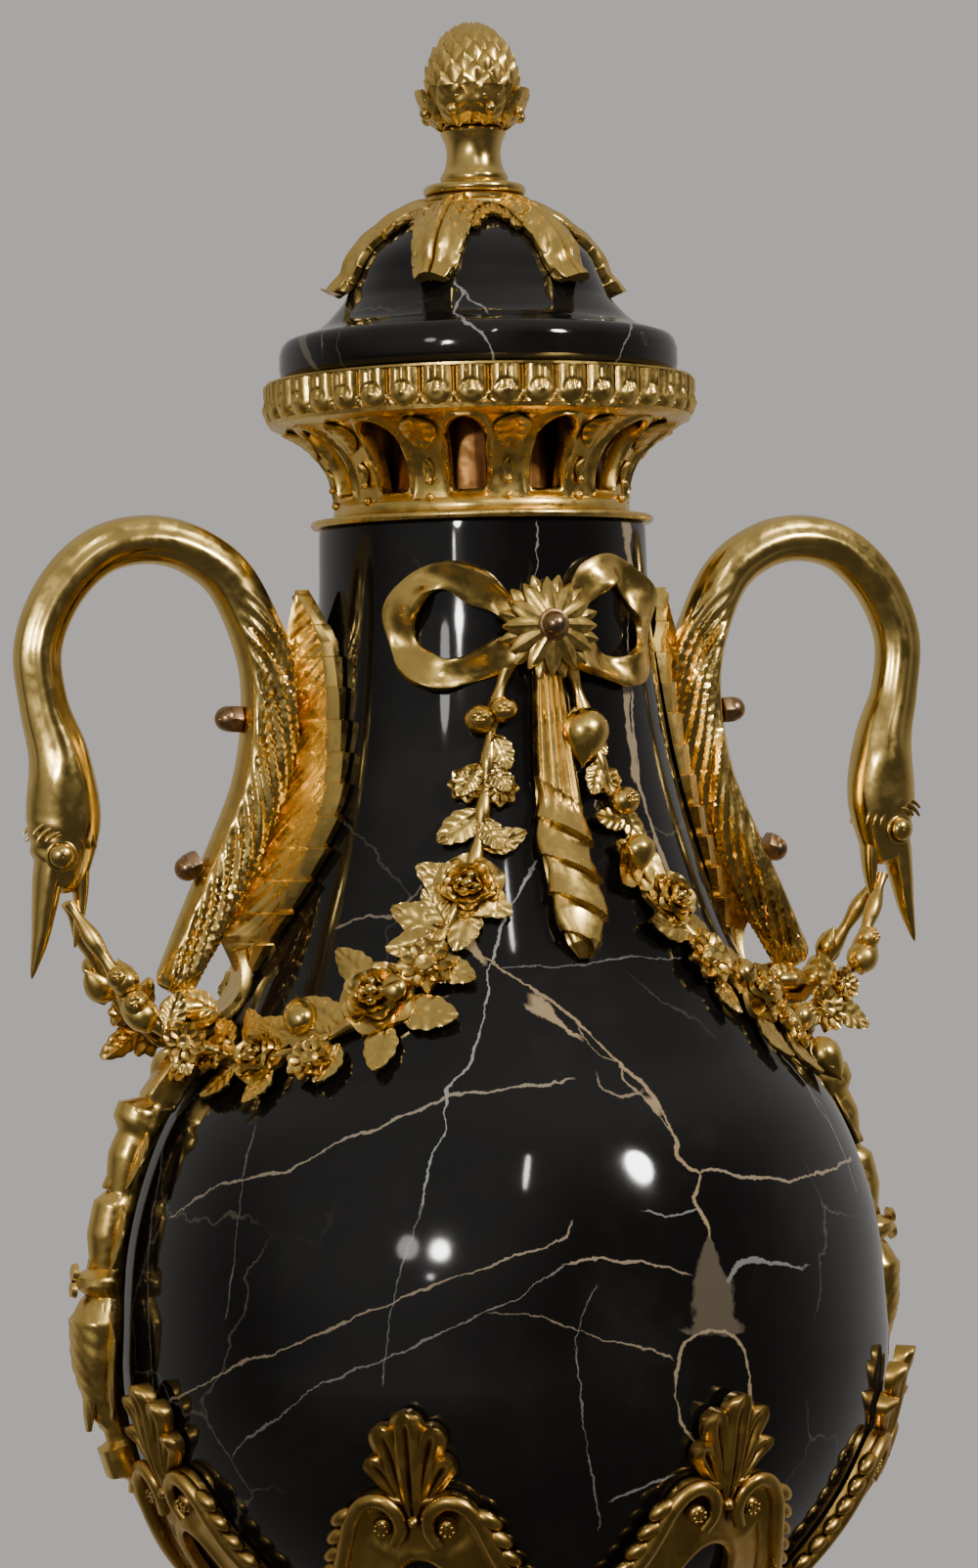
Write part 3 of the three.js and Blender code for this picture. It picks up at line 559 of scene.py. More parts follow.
def lathe(name: str, profile: Iterable[Sequence[float]], segments: int = 128, soften: float = 0.0,
          crease: float = 35.0) -> Object:
    """Turns a profile round the urn's axis.

    Args:
        name: The object's name.
        profile: Radius and height pairs, from the axis back to the axis or closed on themselves.
        segments: Steps round the axis.
        soften: Radius that its sharp edges are rounded to.
        crease: Edges sharper than this many degrees stay sharp.

    Returns:
        The turned object.
    """
    points = [(r * MM, 0.0, z * MM) for r, z in profile]
    mesh = bpy.data.meshes.new(name)
    mesh.from_pydata(points, [(i, i + 1) for i in range(len(points) - 1)], [])
    thing = bpy.data.objects.new(name, mesh)
    bpy.context.scene.collection.objects.link(thing)
    only(thing)
    bpy.ops.object.mode_set(mode="EDIT")
    bpy.ops.mesh.select_all(action="SELECT")
    bpy.ops.mesh.spin(steps=segments, angle=TAU, center=(0, 0, 0), axis=(0, 0, 1))
    bpy.ops.mesh.select_all(action="SELECT")
    bpy.ops.mesh.remove_doubles(threshold=2e-6)
    bpy.ops.mesh.normals_make_consistent(inside=False)
    bpy.ops.object.mode_set(mode="OBJECT")
    if soften:
        rounding(thing, soften)
    bpy.ops.object.shade_smooth_by_angle(angle=math.radians(crease))
    return thing


def rounding(thing: Object, width: float, segments: int = 3) -> None:
    """Rounds an object's sharp edges to a width in millimetres."""
    only(thing)
    bevel = thing.modifiers.new("rounding", "BEVEL")
    bevel.width, bevel.segments = width * MM, segments
    bevel.limit_method, bevel.angle_limit = "ANGLE", math.radians(30)
    bpy.ops.object.modifier_apply(modifier=bevel.name)


def joined(things: Sequence[Object]) -> Object:
    """Joins objects into the first one."""
    only(things[0])
    for thing in things[1:]:
        thing.select_set(True)
    bpy.ops.object.join()
    return things[0]


def casting_of(thing: Object) -> Casting:
    """Takes a bench-made object's mesh as a pattern for copies, and removes the object."""
    mesh = thing.data
    points = np.array([v.co for v in mesh.vertices]) / MM
    faces = []
    for polygon in mesh.polygons:
        corners = list(polygon.vertices)
        for i in range(1, len(corners) - 1, 2):
            face = [corners[0]] + corners[i:i + 3]
            faces.append(face if len(face) == 4 else face + [face[-1]])
    bpy.data.objects.remove(thing)
    return Casting().shell(points, np.array(faces))


def acorn_nut(radius: float, length: float) -> Casting:
    """A hexagonal nut with a collar and a domed end, along local Z."""
    bpy.ops.object.select_all(action="DESELECT")
    bpy.ops.mesh.primitive_cylinder_add(
        vertices=6, radius=radius * MM, depth=0.45 * length * MM, location=(0, 0, 0.225 * length * MM))
    nut = bpy.context.object
    bpy.ops.object.transform_apply(location=True)
    rounding(nut, 0.25, 2)
    bpy.ops.mesh.primitive_uv_sphere_add(
        segments=20, ring_count=12, radius=radius * 0.86 * MM, location=(0, 0, 0.5 * length * MM))
    dome = bpy.context.object
    bpy.ops.object.transform_apply(location=True)
    whole = Casting().place(casting_of(nut)).place(casting_of(dome), scaled(1, 1, 1.02))
    return whole


def slotted_screw(radius: float, height: float) -> Casting:
    """A round-headed screw with a cut slot, along local Z."""
    bpy.ops.object.select_all(action="DESELECT")
    bpy.ops.mesh.primitive_uv_sphere_add(segments=24, ring_count=16, radius=radius * MM)
    head = bpy.context.object
    bpy.ops.object.mode_set(mode="EDIT")
    bpy.ops.mesh.select_all(action="SELECT")
    bpy.ops.mesh.bisect(plane_co=(0, 0, 0), plane_no=(0, 0, 1), use_fill=True, clear_inner=True)
    bpy.ops.object.mode_set(mode="OBJECT")
    bpy.ops.mesh.primitive_cube_add(size=1, location=(0, 0, radius * MM))
    blade = bpy.context.object
    blade.scale = (3 * radius * MM, 0.26 * radius * MM, 0.75 * radius * MM)
    bpy.ops.object.transform_apply(location=True, scale=True)
    only(head)
    slot = head.modifiers.new("slot", "BOOLEAN")
    slot.object, slot.operation = blade, "DIFFERENCE"
    bpy.ops.object.modifier_apply(modifier=slot.name)
    bpy.data.objects.remove(blade)
    return Casting().place(casting_of(head), scaled(1, 1, height / radius))


# ---------------------------------------------------------------- finishes

class Slot(Enum):
    """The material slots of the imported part."""

    MARBLE = "black_marble"
    GILT = "gilt_bronze"
    BROWN = "brown_bronze"
    COPPER = "copper_liner"


class Nodes:
    """A short way to build a node tree."""

    def __init__(self, tree: bpy.types.NodeTree) -> None:
        """Keeps the tree."""
        self.tree = tree

    def add(self, kind: str, values: dict | None = None, **settings: object) -> bpy.types.Node:
        """Adds a node.

        Args:
            kind: Its type, such as ShaderNodeMath.
            values: Input number or name, and a constant or an output socket to link.
            settings: The node's own properties.

        Returns:
            The node.
        """
        node = self.tree.nodes.new(kind)
        for key, value in settings.items():
            setattr(node, key, value)
        for key, value in (values or {}).items():
            if isinstance(value, Socket):
                self.tree.links.new(value, node.inputs[key])
            else:
                node.inputs[key].default_value = value
        return node

    def math(self, operation: str, first: object, second: object = 0.0, clamp: bool = False) -> Socket:
        """A Math node's result."""
        return self.add("ShaderNodeMath", {0: first, 1: second}, operation=operation,
                        use_clamp=clamp).outputs[0]

    def vector(self, operation: str, first: object, second: object = (0, 0, 0)) -> Socket:
        """A Vector Math node's vector."""
        return self.add("ShaderNodeVectorMath", {0: first, 1: second}, operation=operation).outputs["Vector"]

    def dot(self, first: object, second: object) -> Socket:
        """The dot product of two vectors."""
        return self.add("ShaderNodeVectorMath", {0: first, 1: second},
                        operation="DOT_PRODUCT").outputs["Value"]

    def ramp(self, value: object, low: float, high: float, start: float = 0.0, end: float = 1.0) -> Socket:
        """A smooth, clamped change from start to end as the value goes from low to high."""
        return self.add(
            "ShaderNodeMapRange", {"Value": value, "From Min": low, "From Max": high, "To Min": start,
                                   "To Max": end},
            interpolation_type="SMOOTHSTEP").outputs["Result"]

    def mix(self, share: object, first: object, second: object) -> Socket:
        """A mix of two colours."""
        return self.add("ShaderNodeMix", {0: share, 6: first, 7: second}, data_type="RGBA").outputs[2]

    def noise(self, vector: object, scale: float, detail: float = 3.0, rough: float = 0.55,
              colour: bool = False) -> Socket:
        """A noise texture's value, or its colour."""
        node = self.add("ShaderNodeTexNoise",
                        {"Vector": vector, "Scale": scale, "Detail": detail, "Roughness": rough})
        return node.outputs["Color" if colour else 0]


def new_group(name: str, inputs: dict[str, tuple[str, object]], outputs: dict[str, str]) -> tuple[
        bpy.types.NodeTree, bpy.types.Node, bpy.types.Node]:
    """Makes an empty shader node group.

    Args:
        name: The group's name.
        inputs: Socket name to its type and default.
        outputs: Socket name to its type.

    Returns:
        The group, its input node and its output node.
    """
    group = bpy.data.node_groups.new(name, "ShaderNodeTree")
    for socket, (kind, default) in inputs.items():
        made = group.interface.new_socket(socket, in_out="INPUT", socket_type=kind)
        made.default_value = default
    for socket, kind in outputs.items():
        group.interface.new_socket(socket, in_out="OUTPUT", socket_type=kind)
    return group, group.nodes.new("NodeGroupInput"), group.nodes.new("NodeGroupOutput")


FLOAT, VECTOR = "NodeSocketFloat", "NodeSocketVector"


def cast_grain_group() -> bpy.types.NodeTree:
    """The skin of a chased casting: fine pitting, soft dents and patches of brighter burnishing."""
    group, start, end = new_group(
        "cast_grain", {"Vector": (VECTOR, (0, 0, 0)), "Grain": (FLOAT, 1.0)},
        {"Height": FLOAT, "Tone": FLOAT, "Polish": FLOAT})
    nodes = Nodes(group)
    place, grain = start.outputs["Vector"], start.outputs["Grain"]
    pits = nodes.noise(nodes.vector("MULTIPLY", place, (1500, 1500, 1500)), 1.0, 2.0, 0.6)
    dents = nodes.noise(nodes.vector("MULTIPLY", place, (330, 330, 330)), 1.0, 2.0)
    height = nodes.math("ADD", nodes.math("MULTIPLY", pits, 0.4), nodes.math("MULTIPLY", dents, 0.6))
    group.links.new(nodes.math("MULTIPLY", height, grain), end.inputs["Height"])
    tone = nodes.noise(nodes.vector("MULTIPLY", place, (90, 90, 90)), 1.0, 3.0)
    group.links.new(nodes.ramp(tone, 0.35, 0.68), end.inputs["Tone"])
    polish = nodes.noise(nodes.vector("MULTIPLY", place, (210, 210, 210)), 1.0, 2.0)
    group.links.new(nodes.ramp(polish, 0.38, 0.62), end.inputs["Polish"])
    return group


def vein_group() -> bpy.types.NodeTree:
    """Veins read from a field on the mesh: how far its line is, how strong it is, and how wide."""
    group, start, end = new_group(
        "laid_vein", {"Field": (VECTOR, (9, 0, 1)), "Jag": (FLOAT, 0.0), "Breadth": (FLOAT, 1.0)},
        {"Mask": FLOAT})
    nodes = Nodes(group)
    parts = nodes.add("ShaderNodeSeparateXYZ", {0: start.outputs["Field"]}).outputs
    apart = nodes.math("ABSOLUTE", nodes.math("ADD", parts[0], start.outputs["Jag"]))
    share = nodes.math("DIVIDE", apart, nodes.math("MULTIPLY", parts[2], start.outputs["Breadth"]))
    group.links.new(nodes.math("MULTIPLY", nodes.ramp(share, 1.08, 0.7), parts[1]), end.inputs["Mask"])
    return group


@dataclass(frozen=True)
class BronzeFinish:
    """A cast and coloured bronze: burnished where it stands proud, with painted shade darkening its hollows
    from an ambient occlusion reading.
    """

    name: str
    bright: tuple[float, float, float]
    # hollow is the painted shade colour laid in the hollows; on a streaked finish it also colours the
    # streaks.
    hollow: tuple[float, float, float]
    gloss: float
    matt: float
    grain: float
    # Reach of the occlusion reading that places the painted shade, in millimetres.
    painted_shade_reach: float = 2.2
    streaked: bool = False

    def material(self) -> Material:
        """Builds the material."""
        made = bpy.data.materials.new(self.name)
        made.use_nodes = True
        nodes = Nodes(made.node_tree)
        shader = made.node_tree.nodes["Principled BSDF"]
        place = nodes.add("ShaderNodeTexCoord").outputs["Object"]
        skin = nodes.add("ShaderNodeGroup", node_tree=shared_group("cast_grain", cast_grain_group))
        made.node_tree.links.new(place, skin.inputs["Vector"])
        skin.inputs["Grain"].default_value = 1.0
        # Painted shade: an ambient occlusion reading marks the hollows, and open_sky is the share left
        # unshaded.
        shade = nodes.add(
            "ShaderNodeAmbientOcclusion", {"Distance": self.painted_shade_reach * MM}, samples=6, only_local=True)
        open_sky = nodes.ramp(shade.outputs["AO"], 0.25, 0.8)
        dull = nodes.mix(skin.outputs["Tone"], (*[0.86 * c for c in self.bright], 1), (*self.bright, 1))
        if self.streaked:
            runs = nodes.noise(nodes.vector("MULTIPLY", place, (150, 150, 8)), 1.0, 3.0)
            dull = nodes.mix(nodes.ramp(runs, 0.42, 0.62), (*self.hollow, 1), dull)
        # Painted shade: the colour goes to the dark shade colour where the occlusion reading finds a hollow.
        colour = nodes.mix(open_sky, (*self.hollow, 1), dull)
        rough = nodes.math("ADD",
                           nodes.math("MULTIPLY", skin.outputs["Polish"], self.matt - self.gloss), self.gloss)
        rough = nodes.math("ADD", rough, nodes.math("MULTIPLY", nodes.math("SUBTRACT", 1.0, open_sky), 0.18))
        relief = nodes.add(
            "ShaderNodeBump", {"Height": skin.outputs["Height"], "Strength": 1.0,
                               "Distance": self.grain * MM})
        for socket, value in (("Base Color", colour), ("Roughness", rough), ("Normal", relief.outputs[0])):
            made.node_tree.links.new(value, shader.inputs[socket])
        shader.inputs["Metallic"].default_value = 1.0
        return made


def shared_group(name: str, maker: Callable[[], bpy.types.NodeTree]) -> bpy.types.NodeTree:
    """The node group of that name, made the first time it is asked for."""
    return bpy.data.node_groups.get(name) or maker()


@dataclass(frozen=True)
class Vein:
    """One vein of the marble: places of angle and height, half width, and how it shows."""

    line: tuple[tuple[float, float], ...]
    width: float
    pale: float = 1.0
    warm: float = 0.0
    spread: float = 0.0

    def mirrored(self) -> "Vein":
        """The same vein on the other face of the piece."""
        line = tuple((180.0 - angle, height) for angle, height in self.line)
        return Vein(line, self.width, self.pale, self.warm, self.spread)

    def field(self, angle: np.ndarray, height: np.ndarray,
              girth: np.ndarray) -> tuple[np.ndarray, np.ndarray]:
        """Reads the vein at places on the stone.

        Args:
            angle: Angle of each place.
            height: Height of each place.
            girth: Distance of each place from the axis.

        Returns:
            Its signed distance from the line in millimetres, and how far along the line its nearest
            point is, from 0 to 1, or outside that range past an end.
        """
        nearest = np.full(angle.shape, 1e6)
        signed, share = np.full(angle.shape, 1e6), np.zeros(angle.shape)
        scale = np.radians(1.0) * girth
        last = len(self.line) - 2
        for i, ((a0, z0), (a1, z1)) in enumerate(zip(self.line, self.line[1:])):
            x, z = ((angle - a0 + 180) % 360 - 180) * scale, height - z0
            dx, dz = (a1 - a0) * scale, z1 - z0
            free = (x * dx + z * dz) / (dx * dx + dz * dz)
            along = np.clip(free, 0, 1)
            off_x, off_z = x - along * dx, z - along * dz
            apart = np.hypot(off_x, off_z)
            side = np.where(dx * off_z - dz * off_x < 0, -1.0, 1.0)
            closer = apart < nearest
            past = ((free < 0) & (i == 0)) | ((free > 1) & (i == last))
            signed = np.where(closer, side * apart, signed)
            share = np.where(closer, np.where(past, -1.0, (i + along) / (last + 1)), share)
            nearest = np.where(closer, apart, nearest)
        return signed, share


@dataclass(frozen=True)
class MarbleFinish:
    """Polished black marble with pale veins, some laid where this stone has them and fine ones between."""

    name: str
    veins: tuple[Vein, ...] = ()
    fields: int = 8
    black: tuple[float, float, float] = (0.0052, 0.0047, 0.0045)
    cream: tuple[float, float, float] = (0.42, 0.36, 0.25)
    white: tuple[float, float, float] = (0.42, 0.42, 0.40)
    tan: tuple[float, float, float] = (0.40, 0.29, 0.16)

    def material(self) -> Material:
        """Builds the material, which reads the vein fields that mark writes on the piece."""
        made = bpy.data.materials.new(self.name)
        made.use_nodes = True
        nodes = Nodes(made.node_tree)
        shader = made.node_tree.nodes["Principled BSDF"]
        place = nodes.add("ShaderNodeTexCoord").outputs["Object"]
        colour = self._ground(nodes, place)
        colour = nodes.mix(self._cracks(nodes, place), colour, (*self.cream, 1))
        if self.veins:
            colour = self._laid_veins(nodes, place, colour)
        made.node_tree.links.new(colour, shader.inputs["Base Color"])
        rough = nodes.ramp(nodes.noise(place, 40.0, 4.0), 0.3, 0.7, 0.045, 0.085)
        made.node_tree.links.new(rough, shader.inputs["Roughness"])
        polish = nodes.noise(place, 260.0, 2.0)
        relief = nodes.add("ShaderNodeBump", {"Height": polish, "Strength": 1.0, "Distance": 0.004 * MM})
        made.node_tree.links.new(relief.outputs[0], shader.inputs["Normal"])
        return made

    def _ground(self, nodes: Nodes, place: Socket) -> Socket:
        """The black ground with faint grey and brown clouds."""
        clouds = nodes.ramp(nodes.noise(place, 9.0, 5.0, 0.6), 0.42, 0.75)
        wisps = nodes.ramp(nodes.noise(place, 34.0, 6.0, 0.65), 0.5, 0.8)
        grey = nodes.mix(clouds, (*self.black, 1), (0.012, 0.0108, 0.010, 1))
        return nodes.mix(nodes.math("MULTIPLY", wisps, 0.5), grey, (0.022, 0.0195, 0.017, 1))

    def _cracks(self, nodes: Nodes, place: Socket) -> Socket:
        """Hair cracks that come and go, filled with pale calcite."""
        bend = nodes.noise(place, 22.0, 5.0, 0.6, colour=True)
        shift = nodes.vector("MULTIPLY", nodes.vector("SUBTRACT", bend, (0.5, 0.5, 0.5)),
                             (0.035, 0.035, 0.035))
        cells = nodes.add(
            "ShaderNodeTexVoronoi", {"Vector": nodes.vector("ADD", place, shift), "Scale": 13.0},
            feature="DISTANCE_TO_EDGE")
        line = nodes.ramp(cells.outputs["Distance"], 0.008, 0.001)
        shown = nodes.ramp(nodes.noise(place, 15.0, 3.0), 0.50, 0.66, 0.0, 0.16)
        return nodes.math("MULTIPLY", line, shown)

    def _laid_veins(self, nodes: Nodes, place: Socket,
                    colour: Socket) -> Socket:
        """The laid veins, their lines and widths made ragged by noise."""
        coarse = nodes.math("SUBTRACT", nodes.noise(place, 95.0, 5.0, 0.7), 0.5)
        jag = nodes.math("MULTIPLY", coarse, 4.6)
        breadth = nodes.ramp(nodes.noise(place, 75.0, 4.0), 0.3, 0.72, 0.35, 1.35)
        group = shared_group("laid_vein", vein_group)
        for number in range(self.fields):
            source = nodes.add("ShaderNodeAttribute", attribute_name=f"vein_{number}")
            vein = nodes.add("ShaderNodeGroup", node_tree=group)
            for socket, value in (("Field", source.outputs["Vector"]), ("Jag", jag), ("Breadth", breadth)):
                nodes.tree.links.new(value, vein.inputs[socket])
            warm = nodes.add("ShaderNodeAttribute", attribute_name=f"vein_warmth_{number}").outputs["Fac"]
            tint = nodes.mix(warm, (*self.white, 1), (*self.tan, 1))
            colour = nodes.mix(vein.outputs["Mask"], colour, tint)
        return colour

    def mark(self, thing: Object) -> None:
        """Writes the fields of the laid veins on a piece, those that come close in different fields.

        Args:
            thing: The finished piece.
        """
        mesh = thing.data
        points = np.array([v.co for v in mesh.vertices]) / MM
        girth = np.hypot(points[:, 0], points[:, 1])
        angle = np.degrees(np.arctan2(points[:, 0], -points[:, 1]))
        value = np.tile([9.0, 0.0, 1.0], (self.fields, len(points), 1))
        warmth = np.zeros((self.fields, len(points)))
        taken = np.zeros((self.fields, len(points)))
        for vein in [*self.veins, *(v.mirrored() for v in self.veins)]:
            signed, share = vein.field(angle, points[:, 2], np.maximum(girth, 1.0))
            wide = vein.width + vein.spread * np.clip(share, 0, 1)
            near = blend(22.0, 6.0, np.abs(signed) - wide)
            shown = blend(8.5, 6.5, np.abs(signed) - wide) * (share >= 0)
            clash = [(float((taken[i] * near).sum()), i) for i in range(self.fields)]
            i = min(clash)[1]
            mine = near > taken[i]
            value[i, mine, 0], value[i, mine, 1] = signed[mine], (shown * vein.pale)[mine]
            value[i, mine, 2], warmth[i, mine] = wide[mine], vein.warm
            taken[i] = np.maximum(taken[i], near)
        for i in range(self.fields):
            layer = mesh.attributes.new(f"vein_{i}", "FLOAT_VECTOR", "POINT")
            layer.data.foreach_set("vector", value[i].ravel())
            mesh.attributes.new(f"vein_warmth_{i}", "FLOAT", "POINT").data.foreach_set("value", warmth[i])


def dress(thing: Object, material: Material, nodes: Sequence[str]) -> None:
    """Gives a finished piece its material and its place in the frame.

    Args:
        thing: The piece.
        material: Its finish.
        nodes: The solids it stands for.
    """
    thing.data.materials.clear()
    thing.data.materials.append(material)
    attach(thing, "root")
    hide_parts(*nodes)
    LOG.info("%s: %d faces", thing.name, len(thing.data.polygons))


# ---------------------------------------------------------------- the stand

@dataclass
class Stand:
    """The stand: bun feet, a moulded base, a marble block, and a waisted socle in gilt rings."""

    foot_reach: float = 56.0
    foot_radius: float = 12.0
    base_half: float = 74.0
    block_half: float = 66.0
    notch: float = 9.0

    def build(self, gilt: Material, burnished: Material, marble: Material) -> None:
        """Builds the whole stand.

        Args:
            gilt: Finish of the chased castings.
            burnished: Finish of the plain rings.
            marble: Finish of the stone.
        """
        self._feet(burnished)
        self._base(gilt)
        self._block(marble)
        self._plinth_ring(gilt)
        self._socle(marble)
        self._socle_ring(gilt)
        self._knop(gilt)

    def _feet(self, finish: Material) -> None:
        """Four turned bun feet, each with a bead and a flat sole."""
        r = self.foot_radius
        bun = [(0.0, 0.0), (r * 0.68, 0.0)]
        bun += [(r * (0.68 + 0.32 * math.sin(a)), 4.6 - 4.6 * math.cos(a)) for a in np.linspace(0.2, 2.5, 12)]
        bun += [(r * 0.74, 9.2), (r * 0.8, 10.2), (r * 0.74, 11.2), (r * 0.7, 12.0), (0.0, 12.0)]
        foot = turned(bun, 48)
        for row, y in (("front", -1), ("back", 1)):
            for side, x in (("left", -1), ("right", 1)):
                piece = Casting().place(foot, moved(x * self.foot_reach, y * self.foot_reach))
                name = f"foot_{row}_{side}"
                dress(piece.build(f"bun_{name}"), finish, [name])

    def _square(self, name: str, steps: Sequence[Sequence[float]]) -> Object:
        """A square moulding: a cube's top face extruded up through half widths and heights."""
        bpy.ops.object.select_all(action="DESELECT")
        half, low = steps[0]
        bpy.ops.mesh.primitive_plane_add(size=2 * half * MM, location=(0, 0, low * MM))
        thing = bpy.context.object
        bpy.ops.object.transform_apply(location=True)
        thing.name = name
        bpy.ops.object.mode_set(mode="EDIT")
        bpy.ops.mesh.select_all(action="SELECT")
        for (reach, height), (before, level) in zip(steps[1:], steps):
            bpy.ops.mesh.extrude_region_move(TRANSFORM_OT_translate={"value": (0, 0, (height - level) * MM)})
            share = reach / before
            bpy.ops.transform.resize(value=(share, share, 1), center_override=(0, 0, height * MM))
        bpy.ops.mesh.select_all(action="SELECT")
        bpy.ops.mesh.normals_make_consistent(inside=False)
        bpy.ops.object.mode_set(mode="OBJECT")
        return thing

    def _base(self, finish: Material) -> None:
        """The base moulding: a flat fillet, a half round and a hollow, with a row of beads."""
        low, high = (corner[2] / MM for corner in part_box("base_moulding"))
        half = self.base_half
        curve = [(half - 3.4 * (1 - math.cos(a)), low + 4.8 + 2.6 * math.sin(a))
                 for a in np.linspace(0.2, 1.57, 5)]
        steps = [(half - 0.4, low), (half, low + 0.5), (half, low + 4.4), *curve, (half - 4.6, low + 8.2),
                 (half - 5.2, high - 1.4), (half - 5.6, high)]
        thing = self._square("base_frame", steps)
        rounding(thing, 0.3, 2)
        only(thing)
        bpy.ops.object.shade_smooth_by_angle(angle=math.radians(35))
        beads = Casting()
        grain = bead(1.35, segments=10)
        row = half - 5.6
        for i in range(-14, 15):
            for turn in range(4):
                beads.place(grain, moved(i * 4.6, -row, high - 4.0), spun(90 * turn))
        dress(joined([thing, beads.build("base_beads")]), finish, ["base_moulding"])

    def _block(self, marble: Material) -> None:
        """The marble block, its corners cut back square."""
        low, high = (corner[2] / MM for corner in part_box("plinth_block"))
        bpy.ops.object.select_all(action="DESELECT")
        bpy.ops.mesh.primitive_cube_add(size=2, location=(0, 0, (low + high) / 2 * MM))
        block = bpy.context.object
        block.name = "marble_plinth"
        block.scale = (self.block_half * MM, self.block_half * MM, (high - low) / 2 * MM)
        bpy.ops.object.transform_apply(location=True, scale=True)
        for x in (-1, 1):
            for y in (-1, 1):
                bpy.ops.mesh.primitive_cube_add(size=2,
                                                location=(x * self.block_half * MM,
                                                          y * self.block_half * MM, 0.05))
                corner = bpy.context.object
                corner.scale = (self.notch * MM, self.notch * MM, 0.1)
                only(block)
                cut = block.modifiers.new("notch", "BOOLEAN")
                cut.object, cut.operation = corner, "DIFFERENCE"
                bpy.ops.object.modifier_apply(modifier=cut.name)
                bpy.data.objects.remove(corner)
        rounding(block, 0.7, 3)
        only(block)
        bpy.ops.object.shade_smooth_by_angle(angle=math.radians(35))
        dress(block, marble, ["plinth_block"])

    def _plinth_ring(self, finish: Material) -> None:
        """A torus of reeds bound with ribbons."""
        low, high = (corner[2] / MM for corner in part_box("plinth_ring"))
        around, across = 288, 20
        turn = np.arange(around) / around * 360
        middle, radius = (low + high) / 2, (high - low) / 2
        rings = np.zeros((around, across, 3))
        for j in range(across):
            a = TAU * j / across
            reed = 0.35 * np.abs(np.cos(5 * a))
            tied = 0.7 * blend(0.84, 0.9, np.cos(np.radians(turn * 12)))
            swell = radius - 0.7 + np.maximum(reed, tied) * (0.8 if math.cos(a) > -0.5 else 0)
            reach = 51.3 + swell * math.cos(a)
            rings[:, j] = (heading(turn) * reach[:, None]
                           + np.stack([0 * turn, 0 * turn, middle + swell * math.sin(a)], axis=-1))
        ring = Casting().tube(rings, looped=True).build("reeded_ring")
        core = lathe("ring_core", [(0, low), (52, low), (54.6, low + 1), (52, low + 2), (48, high - 1),
                                   (0, high - 1)], 96)
        dress(joined([ring, core]), finish, ["plinth_ring"])

    def _socle(self, marble: Material) -> None:
        """The waisted marble socle."""
        low, high = (corner[2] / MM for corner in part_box("socle"))
        hollow = smooth_line([(50.6, low + 4.2), (44.5, low + 5.4), (36, low + 9.2), (29.5, low + 15.5),
                              (25.8, low + 23), (25, high - 4)], 40)
        profile = [(0, low), (50.4, low), (51, low + 0.6), (51, low + 3.6), *hollow, (25, high), (0, high)]
        socle = lathe("marble_socle", profile, 128)
        dress(socle, marble, ["socle"])

    def _socle_ring(self, finish: Material) -> None:
        """A ring of pearls between two fillets."""
        low, high = (corner[2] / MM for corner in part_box("socle_ring"))
        ring = lathe("pearl_ring", [(0, low), (27.6, low), (27.8, low + 1), (26, low + 1.5), (26, high - 1.5),
                                    (27.4, high - 1), (27.4, high), (0, high)], 96)
        pearls = ring_of(Casting().place(bead(1.75, segments=12), moved(z=(low + high) / 2 - 1.75)), 44, 26.0)
        dress(joined([ring, pearls.build("socle_pearls")]), finish, ["socle_ring"])

    def _knop(self, finish: Material) -> None:
        """The knop under the body, its round gadrooned, its flange plain."""
        low, high = (corner[2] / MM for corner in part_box("knop"))
        line = smooth_line([(17, 0), (14.6, 3), (16, 5.2), (20.4, 8), (20.6, 12), (16, 15.4),
                            (15.4, 17), (19, 20.5), (27.4, high - low - 2.6)], 60)
        turn = np.arange(192) / 192 * TAU
        rings = []
        for r, z in [(16.6, 0), *line, (28, high - low - 2), (28, high - low - 0.5), (27.6, high - low)]:
            lobe = 0.9 * hump(z, 10, 3.4) * (np.abs(np.sin(12 * turn)) - 0.6)
            reach = r + lobe
            rings.append(np.stack([reach * np.sin(turn), -reach * np.cos(turn), np.full_like(turn, low + z)],
                                  axis=-1))
        dress(Casting().tube(np.array(rings)).build("gadrooned_knop"), finish, ["knop"])


# ---------------------------------------------------------------- the marble vessel

